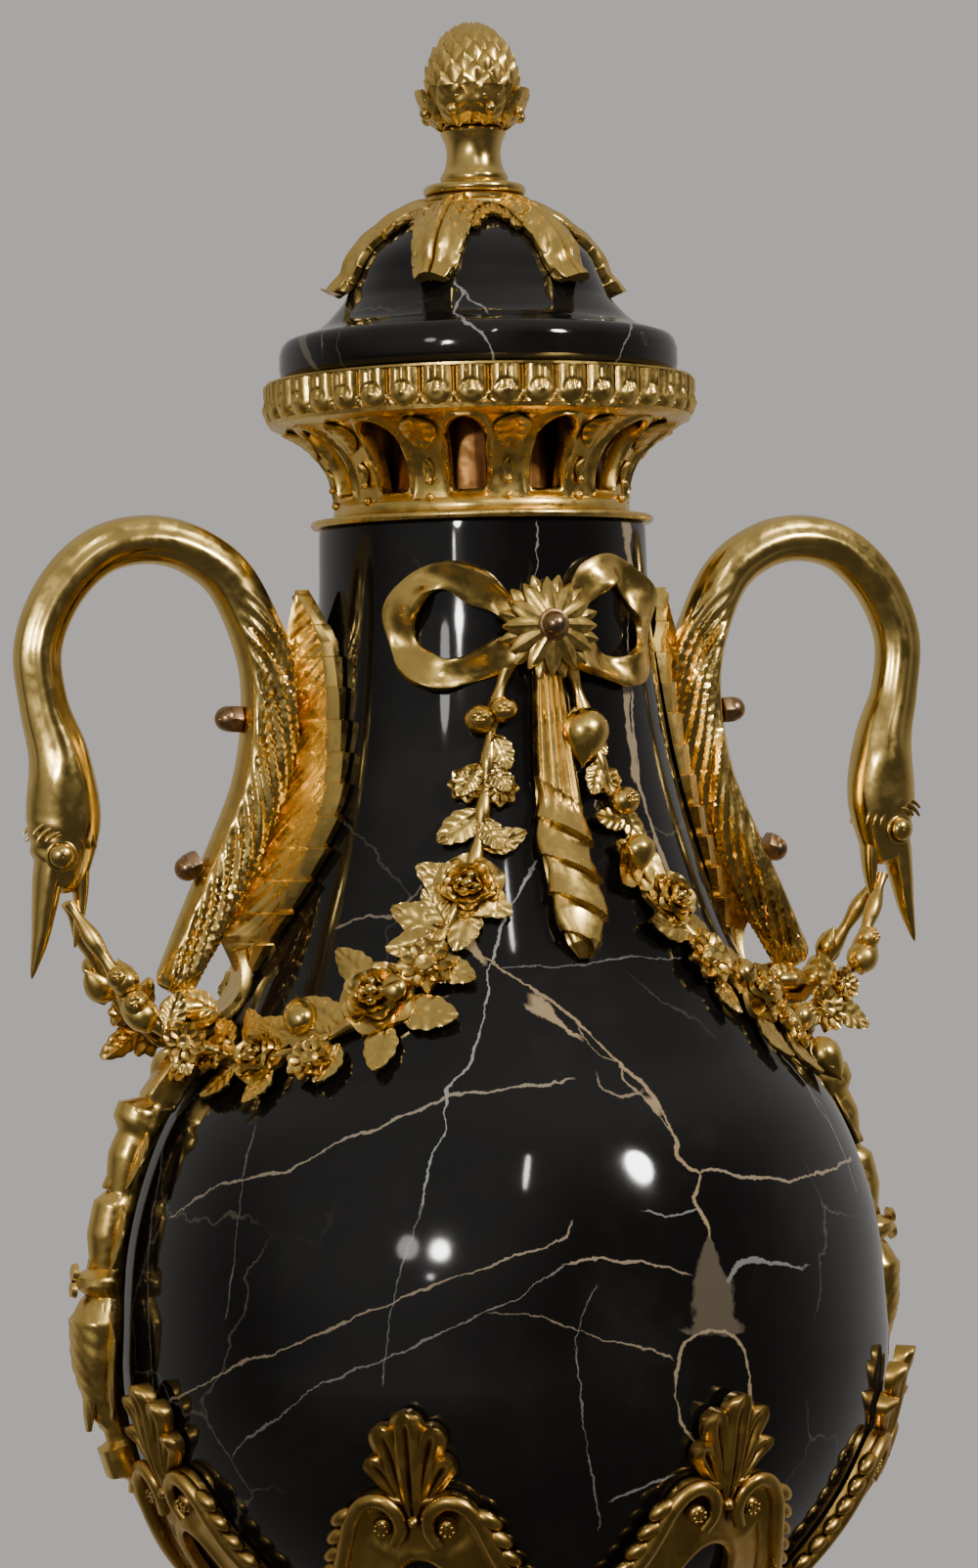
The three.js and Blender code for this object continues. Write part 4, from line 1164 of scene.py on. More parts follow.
@dataclass
class Vessel:
    """The hollow marble body and its hollow lid."""

    floor: float = 151.0
    lid_bottom: float = 506.9
    lid_plug: float = 32.8

    def build(self, body_marble: MarbleFinish, lid_marble: MarbleFinish) -> None:
        """Builds the body and the lid.

        Args:
            body_marble: Finish of the body, with its veins.
            lid_marble: Finish of the lid, with its veins.
        """
        self._body(body_marble)
        self._lid(lid_marble)

    def _body(self, marble: MarbleFinish) -> None:
        """The body: polished outside, plainly hollowed inside, its lip eased."""
        every = slice(0, None, 6)
        outside = list(zip(BODY.girth[every], BODY.height[every]))[:-1]
        inside = [(float(BODY.radius(z)) - BODY_WALL, z) for z in np.linspace(460, 163, 42)]
        neck = float(BODY.radius(BODY_LIP))
        lip = [(neck, BODY_LIP - 0.8), (neck - 0.8, BODY_LIP), (neck - BODY_WALL + 0.6, BODY_LIP)]
        profile = [(0, BODY_BOTTOM), *outside, *lip, *inside, (45, 155.5), (20, self.floor), (0, self.floor)]
        body = lathe("marble_body", profile, 240)
        marble.mark(body)
        dress(body, marble.material(), ["vase_body"])

    def _lid(self, marble: MarbleFinish) -> None:
        """The lid: a rounded rim, a hollow sweep and a dome, cut out underneath."""
        low, plug = self.lid_bottom, self.lid_plug
        sweep = smooth_line(
            [(53.6, 519), (47.5, 521), (44.2, 523), (41.6, 525.6), (39.5, 528), (38, 530), (35.8, 535),
             (31.5, 543.5), (20, 552.4), (9, 554.8), (0.01, 555)], 70)
        rim = [(54, low), (55.6, low + 0.5), (56.6, low + 1.6), (57, low + 3.4), (57, 514.6), (56.3, 517),
               (55.2, 518.4)]
        inside = [(plug - 3.6, low - 5.8), (29.2, 520), (28.8, 535), (24, 541), (14, 545), (0, 546.4)]
        foot = [(plug, low - 0.2), (plug, low - 5.4), (plug - 0.6, low - 6)]
        profile = [*reversed(inside), *reversed(foot), *rim, *sweep]
        lid = lathe("marble_lid", profile, 200, crease=50)
        marble.mark(lid)
        dress(lid, marble.material(), ["lid"])


LID = TurnedFace(*np.array(
    smooth_line([(38, 530), (35.8, 535), (31.5, 543.5), (20, 552.4), (9, 554.9), (1, 555.3)], 300)).T)


# ---------------------------------------------------------------- collar, liner, cap and finial

@dataclass
class Gallery:
    """The pierced collar: a hollow-curved wall with arched openings under a band of tongues."""

    openings: int = 12
    turn: float = 4.8
    tongues: int = 40
    band: float = 61.7
    band_bottom: float = 494.0
    top: float = 506.6
    bottom: float = 467.3
    wall: tuple[tuple[float, float], ...] = (
        (467.3, 42.0), (472, 41.4), (476, 41.5), (480, 42.6), (484, 44.8), (487.5, 47.6), (490.5, 51.2),
        (494, 57.0))
    half_width: float = 4.7
    sill: float = 473.4
    crown: float = 492.6

    def build(self, gilt: Material, copper: Material) -> None:
        """Builds the collar and the sleeve behind it.

        Args:
            gilt: Finish of the collar.
            copper: Finish of the sleeve.
        """
        whole = Casting()
        self._pierced_wall(whole)
        self._piers(whole)
        self._rings(whole)
        tongue = self._tongue()
        face = TurnedFace(np.array([self.band - 2.2, self.band - 2.2]),
                          np.array([self.band_bottom, self.top]))
        for i in range(self.tongues):
            whole.place(tongue, face.at(360 * (i + 0.5) / self.tongues, self.band_bottom + 0.4))
        dress(whole.build("pierced_collar", crease=48), gilt, ["gallery_collar"])
        self._sleeve(copper)

    def _wall_point(self, degrees: np.ndarray, height: np.ndarray, lift: np.ndarray) -> np.ndarray:
        """Points on the hollow-curved wall, raised by lift."""
        slope = (through(self.wall, height + 0.5) - through(self.wall, height - 0.5))
        tilt = np.arctan(slope)
        reach = through(self.wall, height) + lift * np.cos(tilt)
        level = np.zeros_like(height)
        return (heading(degrees) * reach[..., None]
                + np.stack([level, level, height - lift * np.sin(tilt)], axis=-1))

    def _opening_edge(self, steps: int) -> tuple[np.ndarray, np.ndarray]:
        """The outline of one opening: sill with rounded corners, straight sides, arched crown."""
        half, sill, crown = self.half_width, self.sill, self.crown
        arch = [(half * math.cos(a), crown - 5.4 + 5.4 * math.sin(a)) for a in np.linspace(0, math.pi, 17)]
        low_left = [(-half + 1.5 - 1.5 * math.cos(a), sill + 1.5 - 1.5 * math.sin(a))
                    for a in np.linspace(0, 1.57, 5)]
        low_right = [(-x, z) for x, z in reversed(low_left)]
        outline = np.array(arch + low_left + low_right + arch[:1])
        outline[:, 0] *= 1 + 0.12 * np.clip((outline[:, 1] - sill) / (crown - sill), 0, 1)
        length = np.r_[0, np.cumsum(np.linalg.norm(np.diff(outline, axis=0), axis=1))]
        even = np.linspace(0, length[-1], steps, endpoint=False)
        return np.interp(even, length, outline[:, 0]), np.interp(even, length, outline[:, 1])

    def _pierced_wall(self, whole: Casting) -> None:
        """The wall as one frame of faces round each opening, with a raised bead at its edge."""
        x, z = self._opening_edge(96)
        half_cell = 180 / self.openings
        low, high = self.bottom + 0.2, self.band_bottom
        middle = (0.5 * (self.sill + self.crown))
        edge_angle = np.degrees(x / through(self.wall, z))
        away = np.stack([edge_angle / half_cell, (z - middle) / ((high - low) / 2)], axis=-1)
        frame = away / np.abs(away).max(axis=1, keepdims=True)
        outer_angle = frame[:, 0] * half_cell
        outer_z = (low + high) / 2 + frame[:, 1] * (high - low) / 2
        share = np.array([0, 0, 0.1, 0.2, 0.3, 0.42, 0.6, 0.8, 1.0])[:, None]
        angle = edge_angle + (outer_angle - edge_angle) * share
        height = z + (outer_z - z) * share
        apart = np.hypot((angle - edge_angle) * 0.8, height - z)
        bead_line = 1.4 * hump(apart, 1.1, 1.0) * (share < 0.99)
        lift = bead_line.copy()
        lift[0] = -3.4
        front = self._wall_point(angle, height, lift)
        back = self._wall_point(angle[1:], height[1:], np.full_like(angle[1:], -3.4))[::-1]
        cell = np.concatenate([front, back])
        for i in range(self.openings):
            whole.tube(spun(self.turn + i * 360 / self.openings)(cell.transpose(1, 0, 2)), looped=True)

    def _piers(self, whole: Casting) -> None:
        """On each pier a hanging husk with a pearl below it, and a fan of leaf above."""
        face = TurnedFace(
            through(self.wall, np.linspace(468, 493.6, 200)), np.linspace(468, 493.6, 200))
        husk = leaf(13.0, 10.4, cup=-0.25, veins=4, blunt=0.1, thick=1.9, rows=18, columns=13)
        drop = leaf(7.0, 3.4, cup=-0.5, veins=1, thick=1.5, rows=8, columns=7)
        for i in range(self.openings):
            degrees = self.turn + (i + 0.5) * 360 / self.openings
            whole.place(husk, face.at(degrees, 493.2, spin=180, lift=0.1))
            whole.place(drop, face.at(degrees, 482.2, spin=180, lift=0.1))
            whole.place(bead(1.15, segments=12), face.at(degrees, 476.0, lift=0.3))
            whole.place(bead(1.2, segments=12), face.at(degrees, 471.4, lift=-0.5))

    def _rings(self, whole: Casting) -> None:
        """The base ring, the fillet under the tongues, the flat top ring and the ring on the lip."""
        turn = np.arange(144) / 144 * 360
        for profile in (
            [(38.4, 467.3), (42.0, 467.3), (42.5, 468.4), (42.2, 470.4), (41.4, 471.4), (38.4, 471.4)],
            [(54.5, 492.6), (58.6, 493.6), (60.2, 494.4), (60.4, 495.6), (58, 496.6), (54, 496.6)],
            [(53, 495.5), (59.4, 495.5), (59.4, 505.4), (61.0, 506.0), (61.0, 506.6), (37.4, 506.6),
             (37.4, 504.6), (53, 504.6)],
            [(40, 465.2), (48.5, 465.2), (49.0, 465.8), (49.0, 466.6), (48.5, 467.2), (40, 467.2)],
        ):
            ring = np.array([heading(turn) * r + np.array([0, 0, z]) for r, z in profile])
            whole.tube(ring.transpose(1, 0, 2), looped=True)

    def _tongue(self) -> Casting:
        """One tongue of the band: a raised U, a domed tongue inside it, its stem, pearl and two arcs."""
        width, height = TAU * self.band / self.tongues, self.top - self.band_bottom - 0.8
        v, u = np.meshgrid(np.linspace(-1, 1, 23), np.linspace(0, 1, 27))
        x, y = v * width / 2, u * height
        turn = 4.9
        low = np.where(y < turn, np.hypot(x, y - turn), np.abs(x))
        frame_bar = 0.8 * hump(low, 4.8, 0.42)
        dome = 2.1 * np.clip(1 - (low / 4.25) ** 3.2, 0, 1) ** 0.6
        grooves = 0.55 * hump(np.abs(x), 1.0, 0.4) * blend(4.4, 5.6, y) * blend(height, height - 1.2, y)
        grooves = grooves + 0.4 * hump(np.hypot(x, y - 4.6) - 2.7, 0, 0.35) * blend(4.0, 5.2, y)
        stem = 0.1 * hump(x, 0, 0.5) * blend(3.6, 5.2, y)
        pearl = 0.55 * hump(np.hypot(x, y - 4.6), 0, 0.9)
        relief = 0.15 + frame_bar + dome + stem + pearl - grooves
        relief = np.where((u == 0) | (u == 1), 0.0, relief)
        top = np.stack([x, y, relief], axis=-1)
        return Casting().sheet(top, np.stack([x, y, np.full_like(x, -0.9)], axis=-1))

    def _sleeve(self, copper: Material) -> None:
        """The coppery sleeve inside the collar, with its flange on the marble's lip."""
        lip = BODY_LIP + 0.3
        flange = [(36, lip), (47.4, lip), (47.8, lip + 0.5), (47.8, lip + 1.1), (47.4, lip + 1.7),
                  (36, lip + 1.7)]
        profile = [(36, 440), *flange, (36, 503), (34.5, 503), (34.5, 440), (36, 440)]
        dress(lathe("copper_sleeve", profile, 144), copper, ["collar_liner"])


@dataclass
class CapAndFinial:
    """The leaf cap on the lid, the turned stem and the pine cone."""

    leaves: int = 6
    turn: float = 21.5
    leaf_width: float = 18.5

    def build(self, gilt: Material, burnished: Material) -> None:
        """Builds the cap, the stem and the cone.

        Args:
            gilt: Finish of the leaves and the cone.
            burnished: Finish of the stem.
        """
        self._cap(gilt)
        self._stem(burnished)
        self._cone(gilt)

    def _cap_leaf(self) -> Casting:
        """One leaf, lying down the dome and curling off it at a blunt end."""
        u, v = grid(56, 27)
        length = 38.5
        body = np.interp(u, (0, 0.12, 0.3, 0.5, 0.68, 0.84, 1.0), (1.0, 0.74, 0.80, 0.88, 0.80, 0.74, 0.66))
        notch = (1 - np.abs(np.sin(math.pi * 7.5 * u))) ** 2 * blend(0.1, 0.2, u) * blend(1.0, 0.9, u)
        half = 0.5 * self.leaf_width * body * (1 - 0.10 * notch) * np.sqrt(np.clip(1.003 - u**7, 0.02, 1))
        side = np.abs(v)
        fan = np.cos(TAU * (5.0 * u - 1.3 * side))
        height = 1.7 + 2.0 * (1 - side**2) + 0.62 * fan * side * (1 - side**8) + 0.5 * hump(side, 0.88, 0.12)
        height += 0.9 * hump(side, 0.2, 0.09) * blend(1, 0.8, u) - 1.3 * hump(v, 0, 0.07) * blend(0, 0.1, u)
        height += 0.45 * np.cos(TAU * 3 * side) * blend(0.05, 0.25, u) * (1 - u)
        curl = 4.6 * np.clip((u - 0.72) / 0.28, 0, 1) ** 1.8
        y = length * u + 0.8 * side**2 * np.cos(TAU * 7.5 * u) * (u < 0.9)
        top = np.stack([half * v, y, height + curl], axis=-1)
        under = np.maximum(0.1, height + curl - 3.4)
        bottom = np.stack([half * v * 0.97, y - 0.3 * (u > 0.9), under], axis=-1)
        return Casting().sheet(top, bottom)

    def _cap(self, finish: Material) -> None:
        """Six leaves under a flat disc, with small scallops between them."""
        whole = Casting()
        pattern = self._cap_leaf()
        scallop = leaf(5.4, 3.4, cup=-0.3, veins=1, blunt=0.8, thick=1.9, rows=10, columns=7)
        for i in range(self.leaves):
            degrees = self.turn + 360 * i / self.leaves
            whole.place(pattern, LID.at(degrees, 554.2, spin=180, lift=0.2))
            for step in range(-3, 4):
                rise = 5.0 - 0.42 * step * step
                whole.place(scallop, LID.at(degrees + 30 + 4.6 * step, 548.0 + rise,
                                            spin=180 - 5 * step, lift=0.2))
        disc = turned([(0, 554.6), (15.4, 554.6), (16.9, 555.0), (17.3, 555.9), (16.8, 557.0),
                       (0, 557.0)], 96)
        whole.place(disc)
        dress(whole.build("leaf_cap", crease=55), finish, ["acanthus_cap"])

    def _stem(self, finish: Material) -> None:
        """The turned stem: a disc, a round, a hollow waist and a collar."""
        low = 557.3
        torus = [(13.4 + 1.3 * math.cos(a), 561.1 + 1.5 * math.sin(a)) for a in np.linspace(-1.5, 1.5, 9)]
        waist = smooth_line([(9.6, 564.0), (9.7, 565.2), (8.5, 567.4), (7.8, 571), (8.0, 574),
                             (8.8, 576.4)], 16)
        profile = [(0, low), (14.6, low), (15.2, low + 0.5), (15.2, low + 1.4), (14.2, low + 2.0), *torus,
                   (12.0, 562.9), (10.4, 563.2), *waist, (9.2, 577.0), (9.4, 577.8), (9.0, 578.6),
                   (8.2, 579), (0, 579)]
        dress(lathe("turned_stem", profile, 96), finish, ["finial_stem"])

    def _cone(self, finish: Material) -> None:
        """The pine cone in its cup of leaves."""
        outline = smooth_line(
            [(8, 579.3), (10.6, 582.5), (12.0, 587), (12.0, 592), (11.2, 597), (9.2, 601.8), (6.2, 605.8),
             (2.6, 608.2), (0.4, 608.8)], 160)
        cone = TurnedFace(*outline.T)
        whole = Casting().place(turned([(0, 579.3), *outline, (0, 609)], 40))
        u, v = grid(7, 7)
        for row, height in enumerate((589.6, 592.7, 595.7, 598.6, 601.3, 603.7, 605.7, 607.2)):
            reach = float(cone.radius(height))
            wide = TAU * reach / 12 * 0.55
            long = max(6.4 - 0.3 * row, 3.0)
            half = wide * np.maximum(np.sin(math.pi * np.clip(0.16 + 0.8 * u, 0, 1)) ** 0.9, 0.05)
            keel = 0.5 + 1.7 * (1 - np.abs(v)) * (0.3 + 0.7 * u) * (wide / 3.4)
            top = np.stack([half * v, (u - 0.35) * long, keel], axis=-1)
            scale = Casting().sheet(top, top * np.array([1, 1, 0]) - np.array([0, 0, 0.4]))
            for i in range(12):
                whole.place(scale, cone.at(30.0 * (i + 0.5 * (row % 2)), height))
        self._cup(whole)
        dress(whole.build("pine_cone", crease=40), finish, ["pinecone"])

    def _cup(self, whole: Casting) -> None:
        """The cup: eight leaves with turned-out lips, and eight more behind them."""
        cup = TurnedFace(*smooth_line([(8.6, 579.4), (11.6, 581.6), (13.2, 585), (13.5, 588),
                                       (13.3, 592)], 60).T)
        front = leaf(11.4, 9.4, curl=2.6, cup=-0.2, veins=4, blunt=0.75, thick=1.5, rows=20, columns=13)
        behind = leaf(12.0, 7.0, curl=2.2, cup=-0.2, veins=2, blunt=0.5, thick=1.1, rows=14, columns=9)
        for i in range(8):
            whole.place(behind, cup.at(45 * i + 22.5, 579.6, lift=-0.6))
            whole.place(front, cup.at(45 * i, 579.6, lift=-0.3))
            whole.place(bead(1.5, segments=12), cup.at(45 * i, 583.6, lift=0.5))
            for side in (-1, 1):
                whole.place(bead(1.0, segments=10), cup.at(45 * i + side * 7, 586.6, lift=0.6))
        whole.place(turned([(0, 579.3), (8.6, 579.3), (11.2, 581.6), (12.4, 585), (12.6, 588.6),
                            (0, 589)], 40))


# ---------------------------------------------------------------- the lower mount

@dataclass
class LowerCalyx:
    """The cup under the body: eight pierced cartouches, each a shell over a pair of scrolls."""

    count: int = 8
    turn: float = 12.0
    bottom: float = 142.0
    stand: float = 0.7
    thick: float = 2.3
    crest: float = 233.0
    volute: tuple[float, float, float] = (8.4, 201.0, 2.7)
    outline: tuple[tuple[float, float], ...] = (
        (0.0, 209.0), (4.0, 210.5), (7.4, 209.0), (9.6, 203.5), (11.4, 197.0), (14.8, 187.0), (18.6, 175.5),
        (22.5, 165.0))

    def build(self, finish: Material) -> None:
        """Builds the cup."""
        whole, unit_work = Casting(), self._cartouche()
        for i in range(self.count):
            whole.place(unit_work, spun(360 * i / self.count + self.turn))
        dress(whole.build("cartouche_cup", crease=50), finish, ["lower_calyx"])

    def _edges(self, steps: int) -> tuple[np.ndarray, np.ndarray]:
        """The outer edge of one cell as evenly stepped angles and heights."""
        half = 180 / self.count
        top = smooth_line(self.outline, 40)
        right = [(half, z) for z in np.linspace(165, self.bottom, 12)[1:]]
        low = [(a, self.bottom) for a in np.linspace(half, 0, 12)[1:]]
        one = np.array([*top, *right, *low])
        loop = np.vstack([one, one[-2:0:-1] * np.array([-1, 1])])
        stretched = np.vstack([loop, loop[:1]]) * np.array([1.6, 1.0])
        length = np.r_[0, np.cumsum(np.linalg.norm(np.diff(stretched, axis=0), axis=1))]
        even = np.linspace(0, length[-1], steps, endpoint=False)
        return np.interp(even, length, stretched[:, 0]) / 1.6, np.interp(even, length, stretched[:, 1])

    def _skin(self) -> Casting:
        """The pierced ground of one cartouche, from its oval opening to its outer edge."""
        angle, height = self._edges(132)
        turn = np.unwrap(np.arctan2(height - 177.0, angle * 1.6))
        hole_angle, hole_height = 5.2 * np.cos(turn), 177 + 15 * np.sin(turn)
        share = np.array([0, 0, 0.05, 0.1, 0.16, 0.24, 0.36, 0.5, 0.62, 0.72, 0.8, 0.87, 0.93, 0.97,
                          1.0])[:, None]
        a = hole_angle + (angle - hole_angle) * share
        z = hole_height + (height - hole_height) * share
        from_hole = np.hypot((a - hole_angle) * 1.6, z - hole_height)
        from_edge = np.hypot((a - angle) * 1.6, z - height)
        upper = blend(160, 172, height)
        lift = self.thick + 1.1 * hump(from_hole, 1.6, 1.3)
        lift = lift + 1.5 * hump(from_edge, 1.8, 1.6) * upper - 0.9 * hump(from_edge, 5.0, 2.4) * upper
        lift = lift + 0.7 * np.abs(np.cos(TAU * a / 7.5)) * blend(166, 150, z) * blend(0.2, 0.6, share)
        pit = np.hypot((np.abs(a) - 4.6) * 1.85, z - 200.5)
        lift = lift - 1.5 * blend(7.2, 4.6, pit)
        lift[0] = 0.0
        lift[-1] = np.where(height > 164, 1.2, lift[-1])
        front = BODY.skin(a, z, self.stand + lift)
        back = BODY.skin(a[1:], z[1:], np.full_like(a[1:], self.stand))[::-1]
        return Casting().tube(np.concatenate([front, back]), looped=True)

    def _lobe(self, length: float, width: float) -> Casting:
        """One lobe of the shell: a round-ended flute with a ridge on each side of its groove."""
        u, v = grid(28, 19)
        end = np.sqrt(np.clip(1.0 - (np.clip(u - 0.78, 0, 1) / 0.222) ** 2, 0.01, 1))
        half = 0.5 * width * (0.30 + 0.70 * u**0.7) * end
        side = np.abs(v)
        height = 1.2 + 2.6 * (np.clip(1 - side**2, 0, 1) ** 0.6) * (0.35 + 0.65 * u)
        height += (0.5 * hump(side, 0.42, 0.16) * blend(0.05, 0.3, u)
                   - 1.3 * hump(v, 0, 0.13) * blend(0.95, 0.8, u))
        height += 1.6 * blend(0.7, 1.0, u)
        top = np.stack([half * v, length * u, height], axis=-1)
        return Casting().sheet(top, np.stack([half * v, length * u, np.zeros_like(u)], axis=-1))

    def _scroll_line(self) -> np.ndarray:
        """The rim of one scroll, from inside its volute, over it, and down the arm."""
        path = [(5.6, -4.0), (3.6, 0.5), (4.4, 5.2), (8.4, 8.2), (13.0, 7.0), (16.6, 2.2), (18.8, -4.4),
                (21.0, -11), (24.0, -18), (27.2, -26), (29.6, -36)]
        return smooth_line(path, 90)

    def _cartouche(self) -> Casting:
        """One cartouche at the front of the urn."""
        whole = self._skin()
        x, level, ball = self.volute
        for side in (-1, 1):
            rim = self._scroll_line() * np.array([side, 1])
            line = np.column_stack([rim, np.full(len(rim), 4.4)])
            girth = 1.75 + 0.45 * np.sin(np.linspace(0, math.pi, len(rim)))
            out = np.tile([0.0, 0.0, 1.0], (len(rim), 1))
            whole.place(ribbed_cord(line, girth, out, 12), BODY.at(0, level))
            whole.place(turned([(ball * math.cos(a), ball * 0.82 * math.sin(a))
                                for a in np.linspace(-1.5, 1.5, 11)], 20),
                        moved(side * x, 0.6, 3.4), BODY.at(0, level))
            whole.place(ring_of(bead(0.55, segments=8), 7, 1.6), moved(side * x, 0.6, 4.9), BODY.at(0, level))
            for i in range(7):
                here = self._scroll_line()[min(34 + 8 * i, 88)]
                lump = bead(2.7 - 0.08 * i, segments=14)
                whole.place(lump, scaled(1.5, 0.8, 0.85), spun(-34), moved(here[0] + 2.6, here[1] + 0.4, 1.6),
                            scaled(side, 1, 1), BODY.at(0, level))
        for turn, length, width, lift in ((-33, 19.0, 8.6, 0.0), (33, 19.0, 8.6, 0.0), (-16, 25.5, 10.0, 0.8),
                                          (16, 25.5, 10.0, 0.8), (0, 28.2, 10.6, 1.8)):
            foot = self.crest - 28.4
            whole.place(self._lobe(length, width), spun(-turn), moved(z=lift + 1.0), BODY.at(0, foot))
        whole.place(turned([(0, 0), (2.0, 0), (1.6, 5.0), (0.6, 6.4), (0, 6.5)], 12), BODY.at(0, 203.5))
        return whole


# ---------------------------------------------------------------- handles and side mounts

@dataclass
class SwanHandle:
    """A handle cast as a swan: feathered up its lower limb, polished over the arch, with head and beak."""

    spine: tuple[tuple[float, float, float], ...] = (
        (93.8, 340, 5.6), (85.6, 355.5, 6.9), (77.3, 372.4, 7.4), (68.5, 392.3, 7.9), (65.1, 412.6, 8.0),
        (66.6, 430, 7.7), (75, 449.5, 7.2), (87, 459, 6.9), (100.5, 461.7, 6.8), (114, 458, 6.8),
        (125, 447, 6.8), (131, 432, 6.7), (129.6, 416, 6.8), (125.8, 402, 8.4), (124.8, 386, 10.4),
        (125.4, 373, 8.2), (126.2, 366.5, 5.6))
    steps: int = 300
    sides: int = 72

    def build(self, side: str, sign: int, finish: Material) -> None:
        """Builds one handle.

        Args:
            side: Its side of the urn.
            sign: 1 on the right, -1 on the left.
            finish: Its material.
        """
        whole = Casting()
        self._limb(whole)
        self._head(whole)
        placed = Casting().place(whole, scaled(sign, 1, 1))
        dress(placed.build(f"swan_{side}", crease=50), finish, [f"swan_handle_{side}"])

    def _frame(self) -> tuple[np.ndarray, np.ndarray, np.ndarray, np.ndarray]:
        """The spine's points, directions, outward directions and girths."""
        line = smooth_line(self.spine, self.steps)
        points = np.stack([line[:, 0], 0 * line[:, 0], line[:, 1]], axis=1)
        along = tangents(points)
        out = np.stack([-along[:, 2], 0 * along[:, 0], along[:, 0]], axis=1)
        return points, along, out, line[:, 2]

    def _limb(self, whole: Casting) -> None:
        """The whole length from the foot to the crown as one skin, with its feathers and flutes."""
        points, along, out, girth = self._frame()
        far = np.r_[0, np.cumsum(np.linalg.norm(np.diff(points, axis=0), axis=1))]
        around = np.arange(self.sides) / self.sides * TAU
        from_out = np.abs(np.where(around > math.pi, around - TAU, around))
        s, a = np.meshgrid(far, from_out, indexing="ij")
        signed = np.where(around > math.pi, around - TAU, around)[None, :] + 0 * s
        feathered = blend(112, 92, s + 7 * np.cos(a * 2)) * blend(2.35, 2.0, a)
        bent = s - 22.0 * a + 3.2 * np.sin(s / 10.5 + a)
        strand = np.cos(TAU * bent / 9.0)
        tier = saw((s - 20.0 * a + 4) / 34.0)
        relief = feathered * (0.62 * strand * blend(-2, 6, s) + 1.2 * (tier**2 - 0.35)
                              + 0.12 * np.cos(TAU * bent / 3.0))
        relief = relief + 0.42 * hump(a, 2.3, 0.13) * blend(160, 120, s) * blend(2, 12, s)
        neck = blend(98, 122, s) * blend(234, 220, s)
        relief = relief - neck * (0.55 * hump(a, 1.15, 0.28) * blend(108, 140, s)
                                  - 0.35 * hump(a, 0.62, 0.12))
        relief = relief - 0.5 * neck * hump(a, 2.2, 0.25)
        head = blend(236, 250, s)
        narrow = 1 - 0.18 * blend(226, 240, s)
        down = 0.35 * head * np.cos(TAU * (s / 5.0 - 0.5 * a)) * blend(2.0, 1.1, a) * blend(272, 262, s)
        reach = girth[:, None] + relief + down
        across = np.array([0.0, 1.0, 0.0])
        rings = points[:, None] + (reach * np.cos(signed))[..., None] * out[:, None] + (
            reach * narrow * np.sin(signed))[..., None] * across
        cap = []
        for back, share in ((4.3, 0.42), (4.0, 0.62), (3.2, 0.8), (1.9, 0.93), (0.8, 0.985)):
            ring = points[0] - back * along[0] + share * (rings[0] - points[0])
            cap.append(ring)
        crown = []
        for on, share in ((0.6, 0.86), (1.6, 0.55), (2.0, 0.2)):
            crown.append(points[-1] + on * along[-1] + share * (rings[-1] - points[-1]))
        whole.tube(np.concatenate([np.array(cap), rings, np.array(crown)]))

    def _head(self, whole: Casting) -> None:
        """The beak, the eyes with their rims and brows, and the leaf-shaped feathers of the nape."""
        for line, widths, flat in (
            ([(127.6, 377), (129.3, 370), (130.8, 361), (132.2, 352), (134.4, 343), (134.8, 341.4)],
             [(0, 6.2), (0.25, 5.3), (0.5, 4.1), (0.75, 2.7), (0.95, 1.0), (1, 0.3)], 0.80),
            ([(121.4, 377), (120.6, 370), (120.6, 363), (121.4, 356), (122.4, 350), (122.5, 349.4)],
             [(0, 5.0), (0.3, 4.0), (0.6, 2.8), (0.85, 1.6), (0.97, 0.7), (1, 0.25)], 0.62),
        ):
            path = smooth_line([(x, 0.0, z) for x, z in line], 48)
            at, wide = np.array(widths).T
            radii = np.interp(np.linspace(0, 1, 48), at, wide)
            out = np.stack([-tangents(path)[:, 2], 0 * radii, tangents(path)[:, 0]], axis=1)
            whole.place(ribbed_cord(path, radii, out, 28, flat))
        for side in (-1, 1):
            eye = Casting().place(bead(3.5, segments=22), scaled(1, 1, 0.62))
            eye.place(turned([(0, 0), (1.1, 0), (1.0, 0.5), (0.55, 0.62), (0, 0.35)], 14), moved(z=4.1))
            turn = np.arange(40) / 40 * TAU
            ring = np.stack([3.9 * np.cos(turn), 3.9 * np.sin(turn), 0.9 + 0 * turn], axis=1)
            rim = np.array([ring + 0.62 * (math.cos(b) * unit((0, 0, 1)) + math.sin(b) * np.stack(
                [np.cos(turn), np.sin(turn), 0 * turn], axis=1)) for b in np.arange(10) / 10 * TAU])
            eye.tube(rim.transpose(1, 0, 2), looped=True)
            whole.place(eye, set_at((127.2, side * 5.9, 375.0), (0, 0, 1), (0.16, side, -0.05)))
            for reach, lift, length in ((6.0, 0.5, 2.2), (7.9, 0.2, 2.4), (9.8, -0.3, 2.2)):
                bend = np.linspace(0.15, length + 0.3, 34)
                brow = np.stack([127.0 - reach * np.cos(bend),
                                 side * (6.9 + lift - 0.012 * reach**2 + 0 * bend),
                                 375.5 + reach * 0.95 * np.sin(bend)], axis=1)
                fade = 0.95 * np.sin(math.pi * np.linspace(0.06, 0.94, 34)) ** 0.6
                out = np.tile([0.0, float(side), 0.0], (34, 1))
                whole.place(ribbed_cord(brow, np.maximum(fade, 0.12), out, 10))
        points, _, out, girth = self._frame()
        for share, turn, length, width in (
            (0.835, 0, 15, 8.5), (0.838, 48, 16, 9.0), (0.838, -48, 16, 9.0), (0.85, 96, 14, 8.0),
            (0.85, -96, 14, 8.0), (0.862, 24, 11, 8.5), (0.862, -24, 11, 8.5), (0.868, 72, 11, 8.5),
            (0.868, -72, 11, 8.5)):
            i = int(share * (self.steps - 1))
            a = math.radians(turn)
            face = math.cos(a) * out[i] + np.array([0, math.sin(a), 0])
